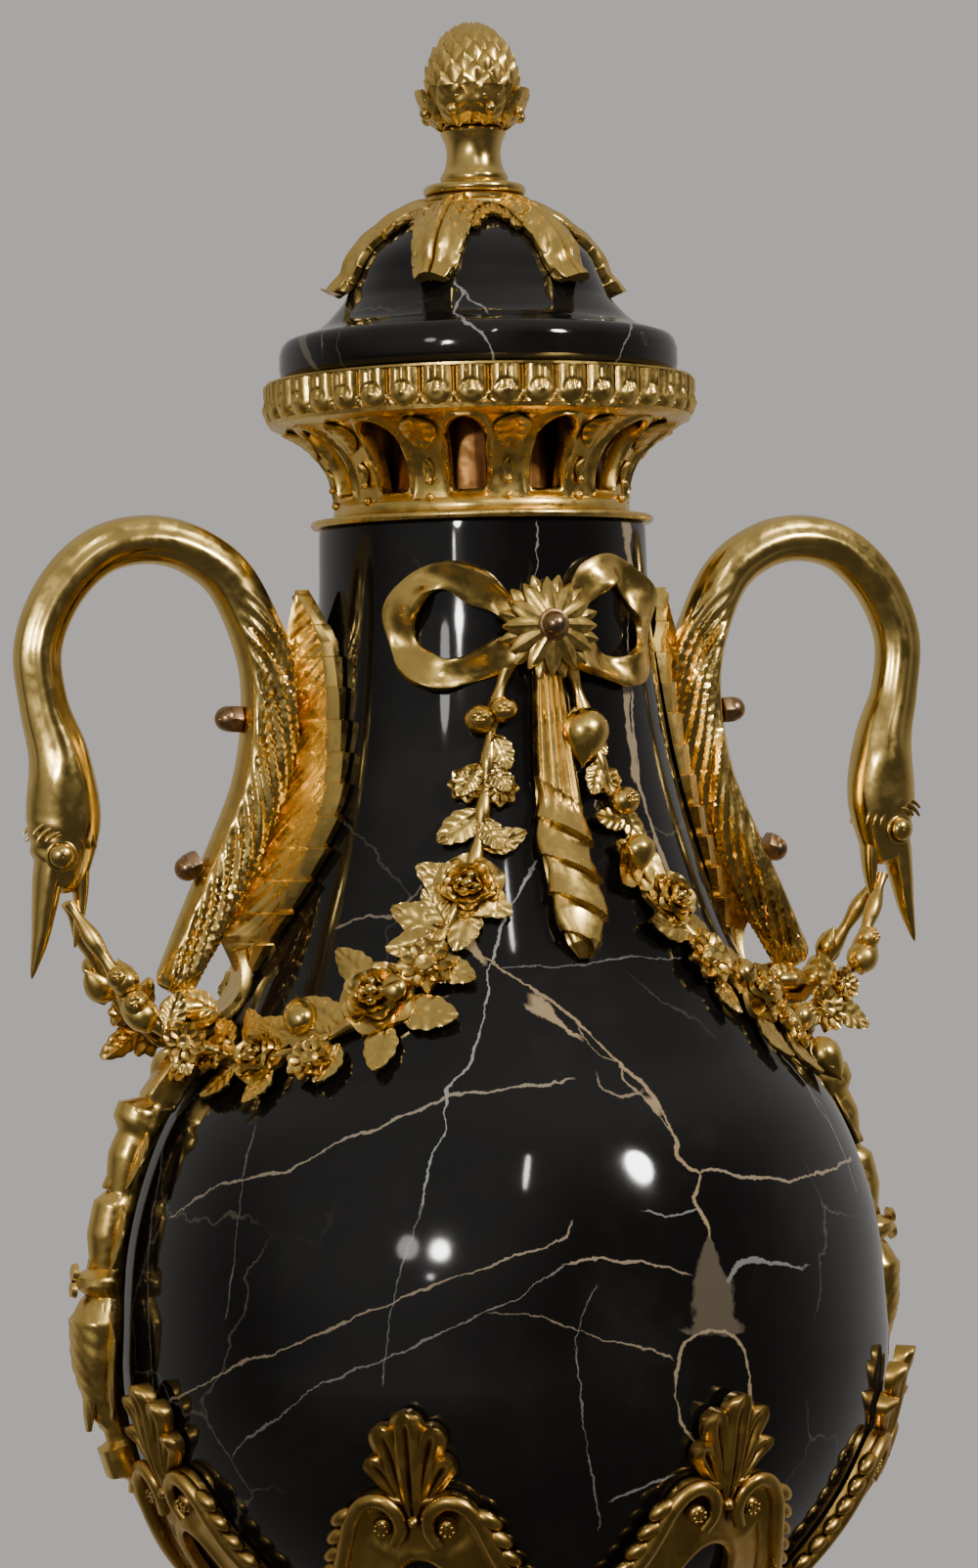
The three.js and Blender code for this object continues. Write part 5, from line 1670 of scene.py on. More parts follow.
            ahead = points[min(i + 22, self.steps - 1)] + 0.9 * girth[min(i + 22, self.steps - 1)] * face
            root = points[i] + (girth[i] - 1.2) * (face * np.array([1, 0.9, 1]))
            plume = leaf(length, width, cup=-0.5, veins=4, blunt=0.35, thick=1.3, rows=20, columns=13)
            whole.place(plume, set_at(root, ahead - root, face))


@dataclass
class WingPlate:
    """The wing behind a handle: a keeled plate with a toothed rim, on a scrolled bracket."""

    bottom: float = 341.0
    top: float = 447.4
    teeth: int = 12
    half_width: tuple[tuple[float, float], ...] = (
        (340, 4), (350, 9.5), (361, 17), (376, 22.5), (388, 24), (405, 20), (422, 15), (436, 9), (447.5, 1.2))
    keel: tuple[tuple[float, float], ...] = (
        (341, 78.6), (346, 80.4), (352, 78.3), (362, 73.6), (372, 68.9), (382, 64.6), (392, 60.4),
        (402, 58.0), (412, 56.9), (422, 57.0), (432, 57.4), (440, 55.6), (447.5, 53.8))

    def build(self, side: str, sign: int, finish: Material) -> None:
        """Builds one wing with its bracket.

        Args:
            side: Its side of the urn.
            sign: 1 on the right, -1 on the left.
            finish: Its material.
        """
        whole = Casting()
        self._plate(whole)
        self._bracket(whole)
        placed = Casting().place(whole, scaled(sign, 1, 1))
        dress(placed.build(f"wing_{side}", crease=32), finish, [f"wing_plate_{side}"])

    def _plate(self, whole: Casting) -> None:
        """The plate, veined from its keel, its rim cut into flat brushed teeth."""
        u, v = grid(260, 49)
        z = self.bottom + (self.top - self.bottom) * u
        tooth = saw(u * self.teeth + 0.15)
        wide = through(self.half_width, z) * (1 + (0.11 * tooth - 0.055) * blend(0.03, 0.1, u))
        marble = BODY.radius(z)
        keel = np.minimum(through(self.keel, z), marble + 3.2 + 0.9 * (z - self.bottom))
        edge = np.maximum(marble + 1.1, keel - 0.6 - 0.5 * (self.top - z))
        side = np.abs(v)
        rim = blend(0.76, 0.80, side)
        sag = 0.55 * np.sin(math.pi * side) * (keel - edge) * 0.35
        base = keel + (edge - keel) * side - sag
        slant = 6.0 * side * wide / 12
        vein = np.cos(TAU * (z - slant * 2.4) / 4.6) * 0.17
        body = base + 2.0 + vein * (1 - rim) * blend(0.02, 0.14, side) + 0.7 * hump(side, 0, 0.05)
        block = base + 2.6 + 1.1 * tooth - 1.1 * (side - 0.85) / 0.15
        front = body * (1 - rim) + block * rim
        angle = 90 + np.degrees(v * wide / marble)
        level = np.zeros_like(z)
        face = heading(angle) * front[..., None] + np.stack([level, level, z], axis=-1)
        back = heading(angle) * (base - 0.2)[..., None] + np.stack([level, level, z], axis=-1)
        whole.sheet(face, back)

    def _bracket(self, whole: Casting) -> None:
        """The C-scroll under the wing, with the swelling that the swan's foot stands on."""
        line = smooth_line([(76.4, 347), (75.2, 342), (76.0, 336.5), (80.0, 331), (87.0, 327.6), (94, 326.8),
                            (97.4, 329.4)], 70)
        path = np.stack([line[:, 0], 0 * line[:, 0], line[:, 1]], axis=1)
        along = tangents(path)
        out = np.stack([along[:, 2], 0 * along[:, 0], -along[:, 0]], axis=1)
        t = np.linspace(0, 1, 70)
        wide = 4.4 + 2.4 * blend(0, 0.35, t) - 1.2 * blend(0.85, 1, t)
        v = np.array([-1, -0.9, -0.72, -0.45, -0.2, 0, 0.2, 0.45, 0.72, 0.9, 1])
        rise = np.array([0.7, 1.9, 2.1, 1.3, 1.1, 1.5, 1.1, 1.3, 2.1, 1.9, 0.7])
        section = np.concatenate([np.stack([v, rise], axis=1), np.stack([v[::-1], 0 * rise - 1.2], axis=1)])
        rings = path[:, None] + wide[:, None, None] * section[None, :, 0:1] * np.array([0, 1.0, 0]) + (
            section[None, :, 1:2] * out[:, None])
        whole.tube(rings)
        boss = []
        for a in np.linspace(-1.45, 1.45, 15):
            turn = np.arange(36) / 36 * TAU
            reach = 6.9 * math.cos(a) * (1 + 0.05 * np.cos(9 * turn))
            boss.append(np.stack([91.6 + reach * np.cos(turn), 0.96 * reach * np.sin(turn),
                                  331.6 + 4.2 * math.sin(a) + 0 * turn], axis=1))
        whole.tube(np.array(boss))
        petal_leaf = leaf(11, 9, curl=-1.5, cup=-0.3, veins=5, blunt=0.4, thick=1.6)
        for side in (-1, 1):
            whole.place(petal_leaf, set_at((84.0, side * 5.0, 330.6), (0.9, 0, 0.35), (0.1, side, 0.2)))


@dataclass
class SideDrop:
    """The mount down each side: a brushed strap, two husks, a reeded leaf, a button and a tip."""

    stations: tuple[tuple[float, float, float], ...] = (
        (323.5, 4.2, 4.2), (304.5, 4.9, 4.5), (301.5, 5.0, 4.6), (299.0, 7.4, 6.2), (296.0, 7.2, 6.2),
        (293.5, 5.8, 5.0), (288, 6.0, 5.4), (279, 4.6, 4.4), (276, 6.0, 5.4), (268, 6.0, 5.6),
        (260, 5.0, 4.4), (257.6, 7.2, 6.6), (255.2, 7.2, 6.6), (252.8, 5.4, 5.4), (246, 7.4, 8.2),
        (236, 7.0, 7.8), (226, 5.6, 5.8), (217, 3.7, 3.8), (214.8, 3.6, 3.6), (213.4, 5.0, 5.0),
        (206.4, 4.9, 4.8), (205, 3.0, 3.0), (203.5, 2.4, 2.4), (201, 3.0, 3.2), (198.2, 0.8, 0.8))

    def build(self, side: str, sign: int, finish: Material) -> None:
        """Builds one drop.

        Args:
            side: Its side of the urn.
            sign: 1 on the right, -1 on the left.
            finish: Its material.
        """
        whole = Casting()
        self._core(whole)
        self._husks(whole)
        placed = Casting().place(whole, spun(90), scaled(sign, 1, 1))
        dress(placed.build(f"drop_{side}", crease=45), finish, [f"side_drop_{side}"])

    def _core(self, whole: Casting) -> None:
        """The core from strap to tip, made at the front of the urn."""
        at, deep, wide = np.array(self.stations).T
        heights = np.concatenate([np.linspace(a, b, max(3, int(abs(a - b) / 0.8)), endpoint=False)
                                  for a, b in zip(at, at[1:])] + [at[-1:]])
        turn = np.arange(40) / 40 * TAU
        rings = []
        for z in heights:
            half_deep = float(np.interp(-z, -at, deep))
            half_wide = float(np.interp(-z, -at, wide))
            square = 0.32 if z > 301.5 else (0.55 if 205.2 < z < 213.5 else 1.0)
            x = half_wide * np.sign(np.cos(turn)) * np.abs(np.cos(turn)) ** square
            y = half_deep * np.sign(np.sin(turn)) * np.abs(np.sin(turn)) ** square
            reeds = 0.5 * np.abs(np.sin(math.pi * (z + 1.0 * np.abs(x)) / 4.4)) if 218 < z < 252 else 0.0
            y = y + reeds * (np.sin(turn) > 0.1)
            lift = half_deep + 1.2
            rings.append(BODY.skin(np.degrees(x / float(BODY.radius(z))), np.full_like(x, z), lift + y))
        whole.tube(np.array(rings))

    def _husks(self, whole: Casting) -> None:
        """Leaves hanging over the core, the reeded leaf's rib, and two small turned bosses on the button."""
        for z, length, width, lift in ((297, 19, 10.5, 9.0), (277.5, 19, 11.0, 9.2), (252.5, 34, 12.5, 10.5)):
            front = leaf(length, width, curl=1.2, cup=-0.5, veins=5, teeth=3, blunt=0.25, thick=1.8,
                         rows=26, columns=15)
            whole.place(front, BODY.at(0, z, spin=180, lift=lift))
            flank = leaf(length * 0.9, width * 0.6, curl=0.8, cup=-0.3, veins=3, blunt=0.25, thick=1.6,
                         rows=18, columns=9)
            for side in (-1, 1):
                whole.place(flank, BODY.at(side * 2.4, z - 0.6, spin=180 + side * 9, lift=lift * 0.62))
        for z in (258.5, 254.4):
            whole.place(turned([(0, 0), (2.4, 0), (2.0, 1.4), (0, 1.8)], 14), BODY.at(0, z, lift=15.0))


@dataclass
class HandleNuts:
    """The brown acorn nuts that hold each swan to its wing."""

    radius: float = 4.2
    length: float = 7.4
    lean: tuple[tuple[str, float], ...] = (("upper", 4.0), ("lower", -25.0))

    def build(self, finish: Material) -> None:
        """Builds the four nuts, each where its solid is."""
        nut = acorn_nut(self.radius, self.length)
        for name, lean in self.lean:
            for side, sign in (("left", -1), ("right", 1)):
                node = f"handle_nut_{name}_{side}"
                low, high = np.array(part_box(node)) / MM
                middle = (low + high) / 2
                out = unit((sign * math.cos(math.radians(lean)), 0, math.sin(math.radians(lean))))
                piece = Casting().place(nut, moved(z=-self.length / 2), set_at(middle, (0, 1, 0), out))
                dress(piece.build(f"acorn_{name}_{side}"), finish, [node])


# ---------------------------------------------------------------- bows and garlands

@dataclass
class Bow:
    """The ribbon bow on the neck: two loops, a twisted tail, and a rosette held by a nut."""

    height: float = 434.0
    turn: float = -1.5
    tail_end: float = 344.0
    ribbon: float = 5.0
    left_loop: tuple[tuple[float, float], ...] = (
        (-2, -2), (-7, 3), (-14, 9.5), (-24, 15), (-33, 13), (-38.5, 3), (-36.5, -7), (-29, -12),
        (-19, -10.5), (-10, -6), (-2, -2))
    right_loop: tuple[tuple[float, float], ...] = (
        (2, -2), (8, 5), (14, 13), (22, 17), (31, 12), (36, 2), (34, -7), (27, -12), (18, -10.5),
        (9, -6.5), (2, -2))

    def build(self, name: str, angle: float, gilt: Material, brown: Material) -> None:
        """Builds one bow with its rosette and nut.

        Args:
            name: The face it is on.
            angle: The face's angle.
            gilt: Finish of the ribbon and the rosette.
            brown: Finish of the nut.
        """
        middle = angle + self.turn
        whole = Casting()
        self._loop(self.left_loop, whole, middle)
        self._loop(self.right_loop, whole, middle)
        whole.place(self._tail(), BODY.at(middle, self.height))
        whole.place(turned([(0, 0), (8.5, 0), (8.8, 2.2), (7.5, 4.6), (0, 5.2)], 28),
                    BODY.at(middle, self.height, lift=0.6))
        dress(whole.build(f"ribbon_bow_{name}", crease=42), gilt, [f"bow_{name}"])
        flower = Casting()
        front, back = pointed_petal(13.6, 5.4, 2.6, 1.5), pointed_petal(14.6, 5.6, 1.0, 1.2)
        flower.place(ring_of(back, 12, turn=15, lift=0.6))
        flower.place(ring_of(front, 12, lift=1.4))
        flower.place(turned([(0, 0), (5.4, 0), (5.2, 3.2), (4.0, 4.1), (0, 4.2)], 24))
        place = set_at(BODY.point(middle, self.height, 5.6), (0, 0, 1), BODY.outward(middle, self.height))
        dress(Casting().place(flower, place).build(f"rosette_{name}", crease=38), gilt,
              [f"bow_rosette_{name}"])
        knob = turned([(0, 0), (4.3, 0), (4.5, 0.5), (4.2, 1.1), (3.6, 1.3), *[
            (3.5 * math.cos(a), 1.5 + 3.3 * math.sin(a)) for a in np.linspace(0.05, 1.5, 9)]], 28)
        seat = set_at(BODY.point(middle, self.height, 10.0), (0, 0, 1), BODY.outward(middle, self.height))
        dress(Casting().place(knob, seat).build(f"rosette_knob_{name}"), brown,
              [f"rosette_nut_{name}"])

    def _loop(self, points: Sequence[Sequence[float]], whole: Casting, middle: float) -> None:
        """One loop of folded ribbon, laid on the neck."""
        count = 150
        line = smooth_line(points, count)
        along = tangents(line)
        t = np.linspace(0, 1, count)
        fold = np.sin(TAU * 4.5 * t + 0.6)
        tilt = 0.42 * np.sin(TAU * 2.5 * t + 1.2)
        half = (self.ribbon * (0.9 + 0.14 * np.cos(TAU * 4.5 * t))
                * (0.72 + 0.28 * np.minimum(1, 5 * np.minimum(t, 1 - t))))
        lift = 3.0 + 0.75 * fold + 1.4 * blend(0.12, 0, t) + 1.4 * blend(0.88, 1, t)
        v = np.array([-1, -0.93, -0.75, -0.5, -0.25, 0, 0.25, 0.5, 0.75, 0.93, 1])
        rise = np.array([0.2, 1.15, 1.3, 0.95, 0.75, 0.7, 0.75, 0.95, 1.3, 1.15, 0.2])
        section = np.concatenate([np.stack([v, rise], axis=1), np.stack([v[::-1], -0.9 + 0 * rise], axis=1)])
        across = np.column_stack([-along[:, 1], along[:, 0], 0 * t])
        up = np.array([0, 0, 1.0])
        side = np.cos(tilt)[:, None] * across + np.sin(tilt)[:, None] * up
        face = -np.sin(tilt)[:, None] * across + np.cos(tilt)[:, None] * up
        dent = (0.85 * np.cos(TAU * (4.5 * t[:, None] + 0.10 * section[None, :, 0]))
                * (section[None, :, 1] > 0))
        rings = (np.column_stack([line, lift])[:, None]
                 + (half[:, None] * section[None, :, 0])[..., None] * side[:, None]
                 + (section[None, :, 1] + dent)[..., None] * face[:, None])
        whole.place(Casting().tube(rings), BODY.at(middle, self.height))

    def _tail(self) -> Casting:
        """The tail: fluted cloth above, wound into a tapering twist below."""
        rows, columns = 220, 72
        arc = float(np.interp(self.height, BODY.height, BODY.arc)
                    - np.interp(self.tail_end, BODY.height, BODY.arc))
        u, around = np.meshgrid(np.linspace(0, 1, rows), np.arange(columns) / columns * TAU, indexing="ij")
        down = 5 + (arc - 5) * u
        wide = np.interp(u, [0, 0.1, 0.3, 0.5, 0.62, 0.75, 0.88, 0.96, 1.0],
                         [3.6, 4.0, 5.2, 6.3, 6.8, 7.2, 6.4, 5.0, 2.0])
        deep = np.interp(u, [0, 0.3, 0.5, 0.7, 0.85, 0.96, 1.0], [2.0, 2.3, 2.6, 3.6, 3.5, 2.8, 0.9])
        x = np.cos(around)
        flutes = blend(0.56, 0.47, u) * 0.55 * np.cos(TAU * 2.6 * x + 0.6) * (np.sin(around) > 0)
        slant = down - 4.6 * x
        phase = (slant - 0.50 * arc) / (0.118 * arc)
        wound = blend(-0.05, 0.12, phase / 4) * (np.sin(around) > -0.3)
        step = saw(phase)
        swell = wound * (2.5 * step**1.4 - 1.1)
        shift = 2.4 * blend(0.55, 0.95, u)
        px = (wide + 0.55 * swell) * x + shift + wound * 0.7 * np.sin(TAU * phase / 2)
        pz = deep + 0.8 + (deep + swell) * np.sin(around) + flutes
        return Casting().tube(np.stack([px, -down, np.maximum(pz, 0.5)], axis=-1))


class Motif(Enum):
    """The flowers and leaves of a garland."""

    BERRY = "berry"
    BUD = "bud"
    BELL = "bell"
    LEAF = "leaf"
    ROSE = "rose"
    DAISY = "daisy"


PLUMP = {Motif.BERRY: 1.25, Motif.BUD: 1.3, Motif.BELL: 1.25, Motif.LEAF: 1.18, Motif.ROSE: 1.15,
         Motif.DAISY: 1.3}


def motif(kind: Motif, size: float) -> Casting:
    """One flower or leaf of a garland.

    Args:
        kind: Which.
        size: Its radius, or its length for a bud, a bell or a leaf.

    Returns:
        The pattern, its stalk at the origin, or centred there when it is round.
    """
    if kind is Motif.ROSE:
        return rose(size)
    if kind is Motif.DAISY:
        return daisy(size)
    if kind is Motif.BERRY:
        berry = Casting().place(bead(size, segments=16))
        return berry.place(ring_of(bead(size * 0.22, segments=8), 5, size * 0.3, lift=size * 1.68))
    if kind is Motif.BUD:
        return bud(size, size * 0.36)
    if kind is Motif.BELL:
        whole = Casting().place(bud(size * 0.7, size * 0.28))
        lip = leaf(size, size * 0.5, curl=1.6, cup=0.4, veins=3, blunt=0.6, thick=1.2, rows=16, columns=9)
        for turn in (-20, 0, 20):
            whole.place(lip, spun(turn), moved(z=0.8))
        return whole
    return leaf(size, size * 0.64, curl=0.9, cup=-0.1, veins=5, teeth=4, blunt=0.16, thick=2.4,
                rows=24, columns=13)


@dataclass
class Garland:
    """A swag of roses, daisies, buds and leaves, from the bow round to a swan's beak."""

    stem: tuple[tuple[float, float, float], ...]
    sprays: tuple[tuple[Motif, float, float, float, float, float], ...]
    free_sprays: tuple[tuple[Motif, float, float, float, float], ...]
    free_stem: tuple[tuple[float, float, float], ...] = (
        (92, -18, 321.5), (97, -14, 323), (103, -11, 328), (108.5, -9.4, 334), (112.6, -8.2, 341),
        (117.5, -5.8, 349.5), (121.6, -3.4, 357), (124.4, -1.4, 362.0))

    def build(self, name: str, half_turn: bool, sign: int, finish: Material) -> None:
        """Builds one garland.

        Args:
            name: Its face and side, as in the solid's name.
            half_turn: Whether it is on the back.
            sign: 1 when the pattern runs to the right of its bow, -1 to the left.
            finish: Its material.
        """
        whole = Casting()
        self._stem(whole)
        for kind, degrees, height, size, spin, lift in self.sprays:
            whole.place(motif(kind, size * PLUMP[kind]), BODY.at(degrees, height, spin=-spin, lift=lift))
        for kind, along, size, spin, lift in self.free_sprays:
            place, up = self._free_place(along)
            out = unit((0.35, -1.0, 0.25))
            whole.place(motif(kind, size * PLUMP[kind]), spun(-spin), moved(z=lift), set_at(place, up, out))
        turn = 180 if half_turn else 0
        placed = Casting().place(whole, scaled(sign, 1, 1), spun(turn))
        dress(placed.build(f"swag_{name}", crease=48), finish, [f"garland_{name}"])

    def _free_line(self) -> np.ndarray:
        """The stem where it leaves the marble."""
        return smooth_line(self.free_stem, 90)

    def _free_place(self, along: float) -> tuple[np.ndarray, np.ndarray]:
        """A place on the free stem and its direction there."""
        line = self._free_line()
        i = int(along * 89)
        return line[i], tangents(line)[i]

    def _stem(self, whole: Casting) -> None:
        """The knobbly stem, on the marble and then free of it."""
        on_marble = smooth_line(self.stem, 160)
        laid = BODY.skin(on_marble[:, 0], on_marble[:, 1], on_marble[:, 2])
        free = self._free_line()
        line = smooth_line(np.vstack([laid[::8], free[4::6]]), 300)
        t = np.linspace(0, 1, 300)
        radii = 1.9 + 0.5 * np.sin(TAU * 16 * t) + 0.45 * hump(t, 0.93, 0.02) - 0.2 * blend(0.94, 1, t)
        out = np.array([unit((x * 1.0, y, 0)) for x, y, _ in line])
        whole.place(ribbed_cord(line, radii, out, 12))


LEFT_SWAG = Garland(
    stem=((11, 428, 2.0), (14, 423, 1.8), (18, 412, 1.8), (20, 400, 1.8), (21.5, 388, 2.0), (23.5, 375, 2.0),
          (26, 364, 2.4), (31, 352, 2.4), (36, 342, 2.6), (44, 333, 2.6), (54, 323, 2.6), (66, 318, 2.8),
          (76, 318, 4.0), (82, 319, 6.5)),
    sprays=(
        (Motif.BERRY, 22.4, 409, 3.2, 0, 0.3), (Motif.BERRY, 15.6, 411.5, 3.0, 0, 0.3),
        (Motif.LEAF, 18.5, 405, 9, -160, 1.0), (Motif.DAISY, 26.0, 391.5, 4.4, 0, 0.6),
        (Motif.DAISY, 17.4, 390, 4.3, 0, 0.6), (Motif.LEAF, 23, 397, 9, 150, 1.0),
        (Motif.LEAF, 20.5, 398, 9, -150, 1.0), (Motif.LEAF, 22.5, 384, 12, 128, 1.0),
        (Motif.LEAF, 22.5, 382, 9, -150, 1.4), (Motif.LEAF, 22, 374, 10, -70, 0.8),
        (Motif.LEAF, 27, 364, 13, -125, 0.6), (Motif.LEAF, 26, 362, 13, 60, 0.6),
        (Motif.LEAF, 25, 360, 13, 165, 0.6), (Motif.ROSE, 25.6, 363.5, 8.4, 0, 1.2),
        (Motif.LEAF, 30, 352, 14, 68, 1.2), (Motif.LEAF, 31, 350, 13, 105, 1.6),
        (Motif.LEAF, 30.5, 353, 10, 30, 2.0), (Motif.LEAF, 33, 352, 9, 170, 2.0),
        (Motif.DAISY, 34.4, 342.5, 6.6, 10, 1.6), (Motif.LEAF, 33, 344, 11, -118, 0.8),
        (Motif.LEAF, 40, 332, 15, -102, 0.9), (Motif.LEAF, 41.5, 328, 13, 180, 0.9),
        (Motif.LEAF, 46, 338, 13, 52, 0.9), (Motif.ROSE, 43.8, 334, 9.6, 25, 1.4),
        (Motif.LEAF, 50, 326, 14, 62, 1.4), (Motif.LEAF, 52, 324, 14, 88, 1.8),
        (Motif.LEAF, 50, 322, 11, 165, 1.0), (Motif.DAISY, 55.0, 317.5, 5.8, 0, 1.6),
        (Motif.BUD, 58, 324, 10, 30, 1.4), (Motif.LEAF, 60, 322, 13, 70, 1.8),
        (Motif.LEAF, 64, 316, 11, 170, 1.0), (Motif.LEAF, 70, 320, 12, 40, 1.2),
        (Motif.ROSE, 67.6, 317.5, 7.6, 50, 1.6), (Motif.LEAF, 73, 315, 11, 150, 1.6),
        (Motif.LEAF, 76, 319, 12, 60, 2.6), (Motif.DAISY, 79.5, 316.5, 5.2, 0, 4.0),
        (Motif.BELL, 83, 319, 12, 175, 6.0)),
    free_sprays=(
        (Motif.DAISY, 0.10, 5.0, 0, 0.4), (Motif.LEAF, 0.14, 9, 140, 0.2), (Motif.LEAF, 0.2, 10, -70, 0.2),
        (Motif.BUD, 0.26, 10, 8, -0.6), (Motif.BERRY, 0.40, 3.2, 0, -0.8), (Motif.BUD, 0.46, 8.5, -18, -0.6),
        (Motif.BERRY, 0.56, 2.6, 0, -0.8)))

RIGHT_SWAG = Garland(
    stem=((6, 428, 2.0), (7.5, 422, 1.8), (11.5, 404, 1.8), (14.5, 392, 1.9), (18.5, 382, 2.0),
          (21.8, 371, 2.0), (26.5, 358, 2.4), (34, 343, 2.6), (46, 331, 2.6), (57, 321, 2.6),
          (66, 317.5, 2.8), (77, 317.5, 4.0), (84, 319, 6.5)),
    sprays=(
        (Motif.BUD, 9.6, 411, 13, -168, 0.4), (Motif.LEAF, 9.0, 409, 10, 155, 0.8),
        (Motif.DAISY, 14.6, 391.5, 3.8, 0, 0.4), (Motif.LEAF, 13, 397, 9, -155, 1.0),
        (Motif.BERRY, 18.0, 385.5, 3.2, 0, 0.4), (Motif.LEAF, 17, 384, 10, 148, 0.8),
        (Motif.LEAF, 19, 380, 9, -80, 0.8), (Motif.BELL, 20.5, 376, 13, -172, 0.6),
        (Motif.LEAF, 24, 368, 11, -60, 0.8), (Motif.LEAF, 25, 364, 12, 170, 0.6),
        (Motif.LEAF, 28, 360, 13, -55, 0.6), (Motif.ROSE, 27.2, 358, 7.8, 0, 1.2),
        (Motif.LEAF, 30, 351, 14, -38, 1.2), (Motif.LEAF, 31, 349, 13, -76, 1.4),
        (Motif.DAISY, 33.6, 341.5, 7.0, 0, 1.5), (Motif.LEAF, 38, 341, 13, -28, 1.0),
        (Motif.LEAF, 34, 337, 11, 175, 0.8), (Motif.LEAF, 43, 326, 14, 168, 0.9),
        (Motif.LEAF, 50, 334, 14, -50, 0.9), (Motif.LEAF, 41, 331, 12, 112, 0.8),
        (Motif.ROSE, 46.5, 331, 9.2, 15, 1.4), (Motif.LEAF, 53, 320, 14, 172, 1.0),
        (Motif.LEAF, 54, 327, 13, -48, 1.2), (Motif.DAISY, 57.6, 320.5, 7.2, 10, 1.5),
        (Motif.LEAF, 62, 321, 12, -60, 1.4), (Motif.BUD, 66, 313.5, 11, -170, 1.4),
        (Motif.BERRY, 67, 320, 3.6, 0, 1.2), (Motif.LEAF, 71, 318, 12, -95, 1.4),
        (Motif.ROSE, 77.5, 317, 7.4, 30, 2.2), (Motif.LEAF, 83, 313, 12, 165, 3.0),
        (Motif.LEAF, 82, 321, 11, -40, 4.0)),
    free_sprays=(
        (Motif.LEAF, 0.05, 12, -170, 0.2), (Motif.DAISY, 0.12, 5.6, 0, 0.4), (Motif.LEAF, 0.2, 12, 75, 0.2),
        (Motif.LEAF, 0.24, 11, -70, 0.2), (Motif.DAISY, 0.32, 4.2, 0, 0.2), (Motif.BUD, 0.42, 10, 12, -0.6),
        (Motif.BERRY, 0.60, 2.8, 0, -0.8)))


@dataclass
class GarlandScrews:
    """The slotted screws that hold the garlands."""

    radius: float = 3.7
    height: float = 2.6

    def build(self, finish: Material) -> None:
        """Builds the four screws, each where its solid is."""
        head = slotted_screw(self.radius, self.height)
        for row in ("front", "back"):
            for side in ("left", "right"):
                node = f"garland_screw_{row}_{side}"
                low, high = np.array(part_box(node)) / MM
                middle = (low + high) / 2
                degrees = math.degrees(math.atan2(middle[0], -middle[1]))
                out = BODY.outward(degrees, middle[2])
                piece = Casting().place(head, spun(24), moved(z=-self.height / 2),
                                        set_at(middle, (0, 0, 1), out))
                dress(piece.build(f"screw_{row}_{side}"), finish, [node])


# ---------------------------------------------------------------- studio

@dataclass(frozen=True)
class Softbox:
    """One lamp of the studio, placed so that the marble shows its glint at an angle and height."""

    name: str
    glint: tuple[float, float]
    toward: tuple[float, float, float]
    size: tuple[float, float]
    watts: float
    distance: float = 2.0
    tilt: float = 0.0
    warmth: tuple[float, float, float] = (1.0, 0.97, 0.93)

    def build(self) -> None:
        """Adds the lamp."""
        light = bpy.data.lights.new(self.name, "AREA")
        light.shape = "ELLIPSE"
        light.size, light.size_y = self.size
        light.energy = self.watts
        light.color = self.warmth
        lamp = bpy.data.objects.new(self.name, light)
        bpy.context.scene.collection.objects.link(lamp)
        way = unit(self.toward)
        lamp.location = (BODY.point(*self.glint) * MM + self.distance * way).tolist()
        turn = (Vector((-way).tolist()).to_track_quat("-Z", "Y")
                @ Quaternion((0, 0, 1), math.radians(self.tilt)))
        lamp.rotation_euler = turn.to_euler()
        lamp.visible_camera = False


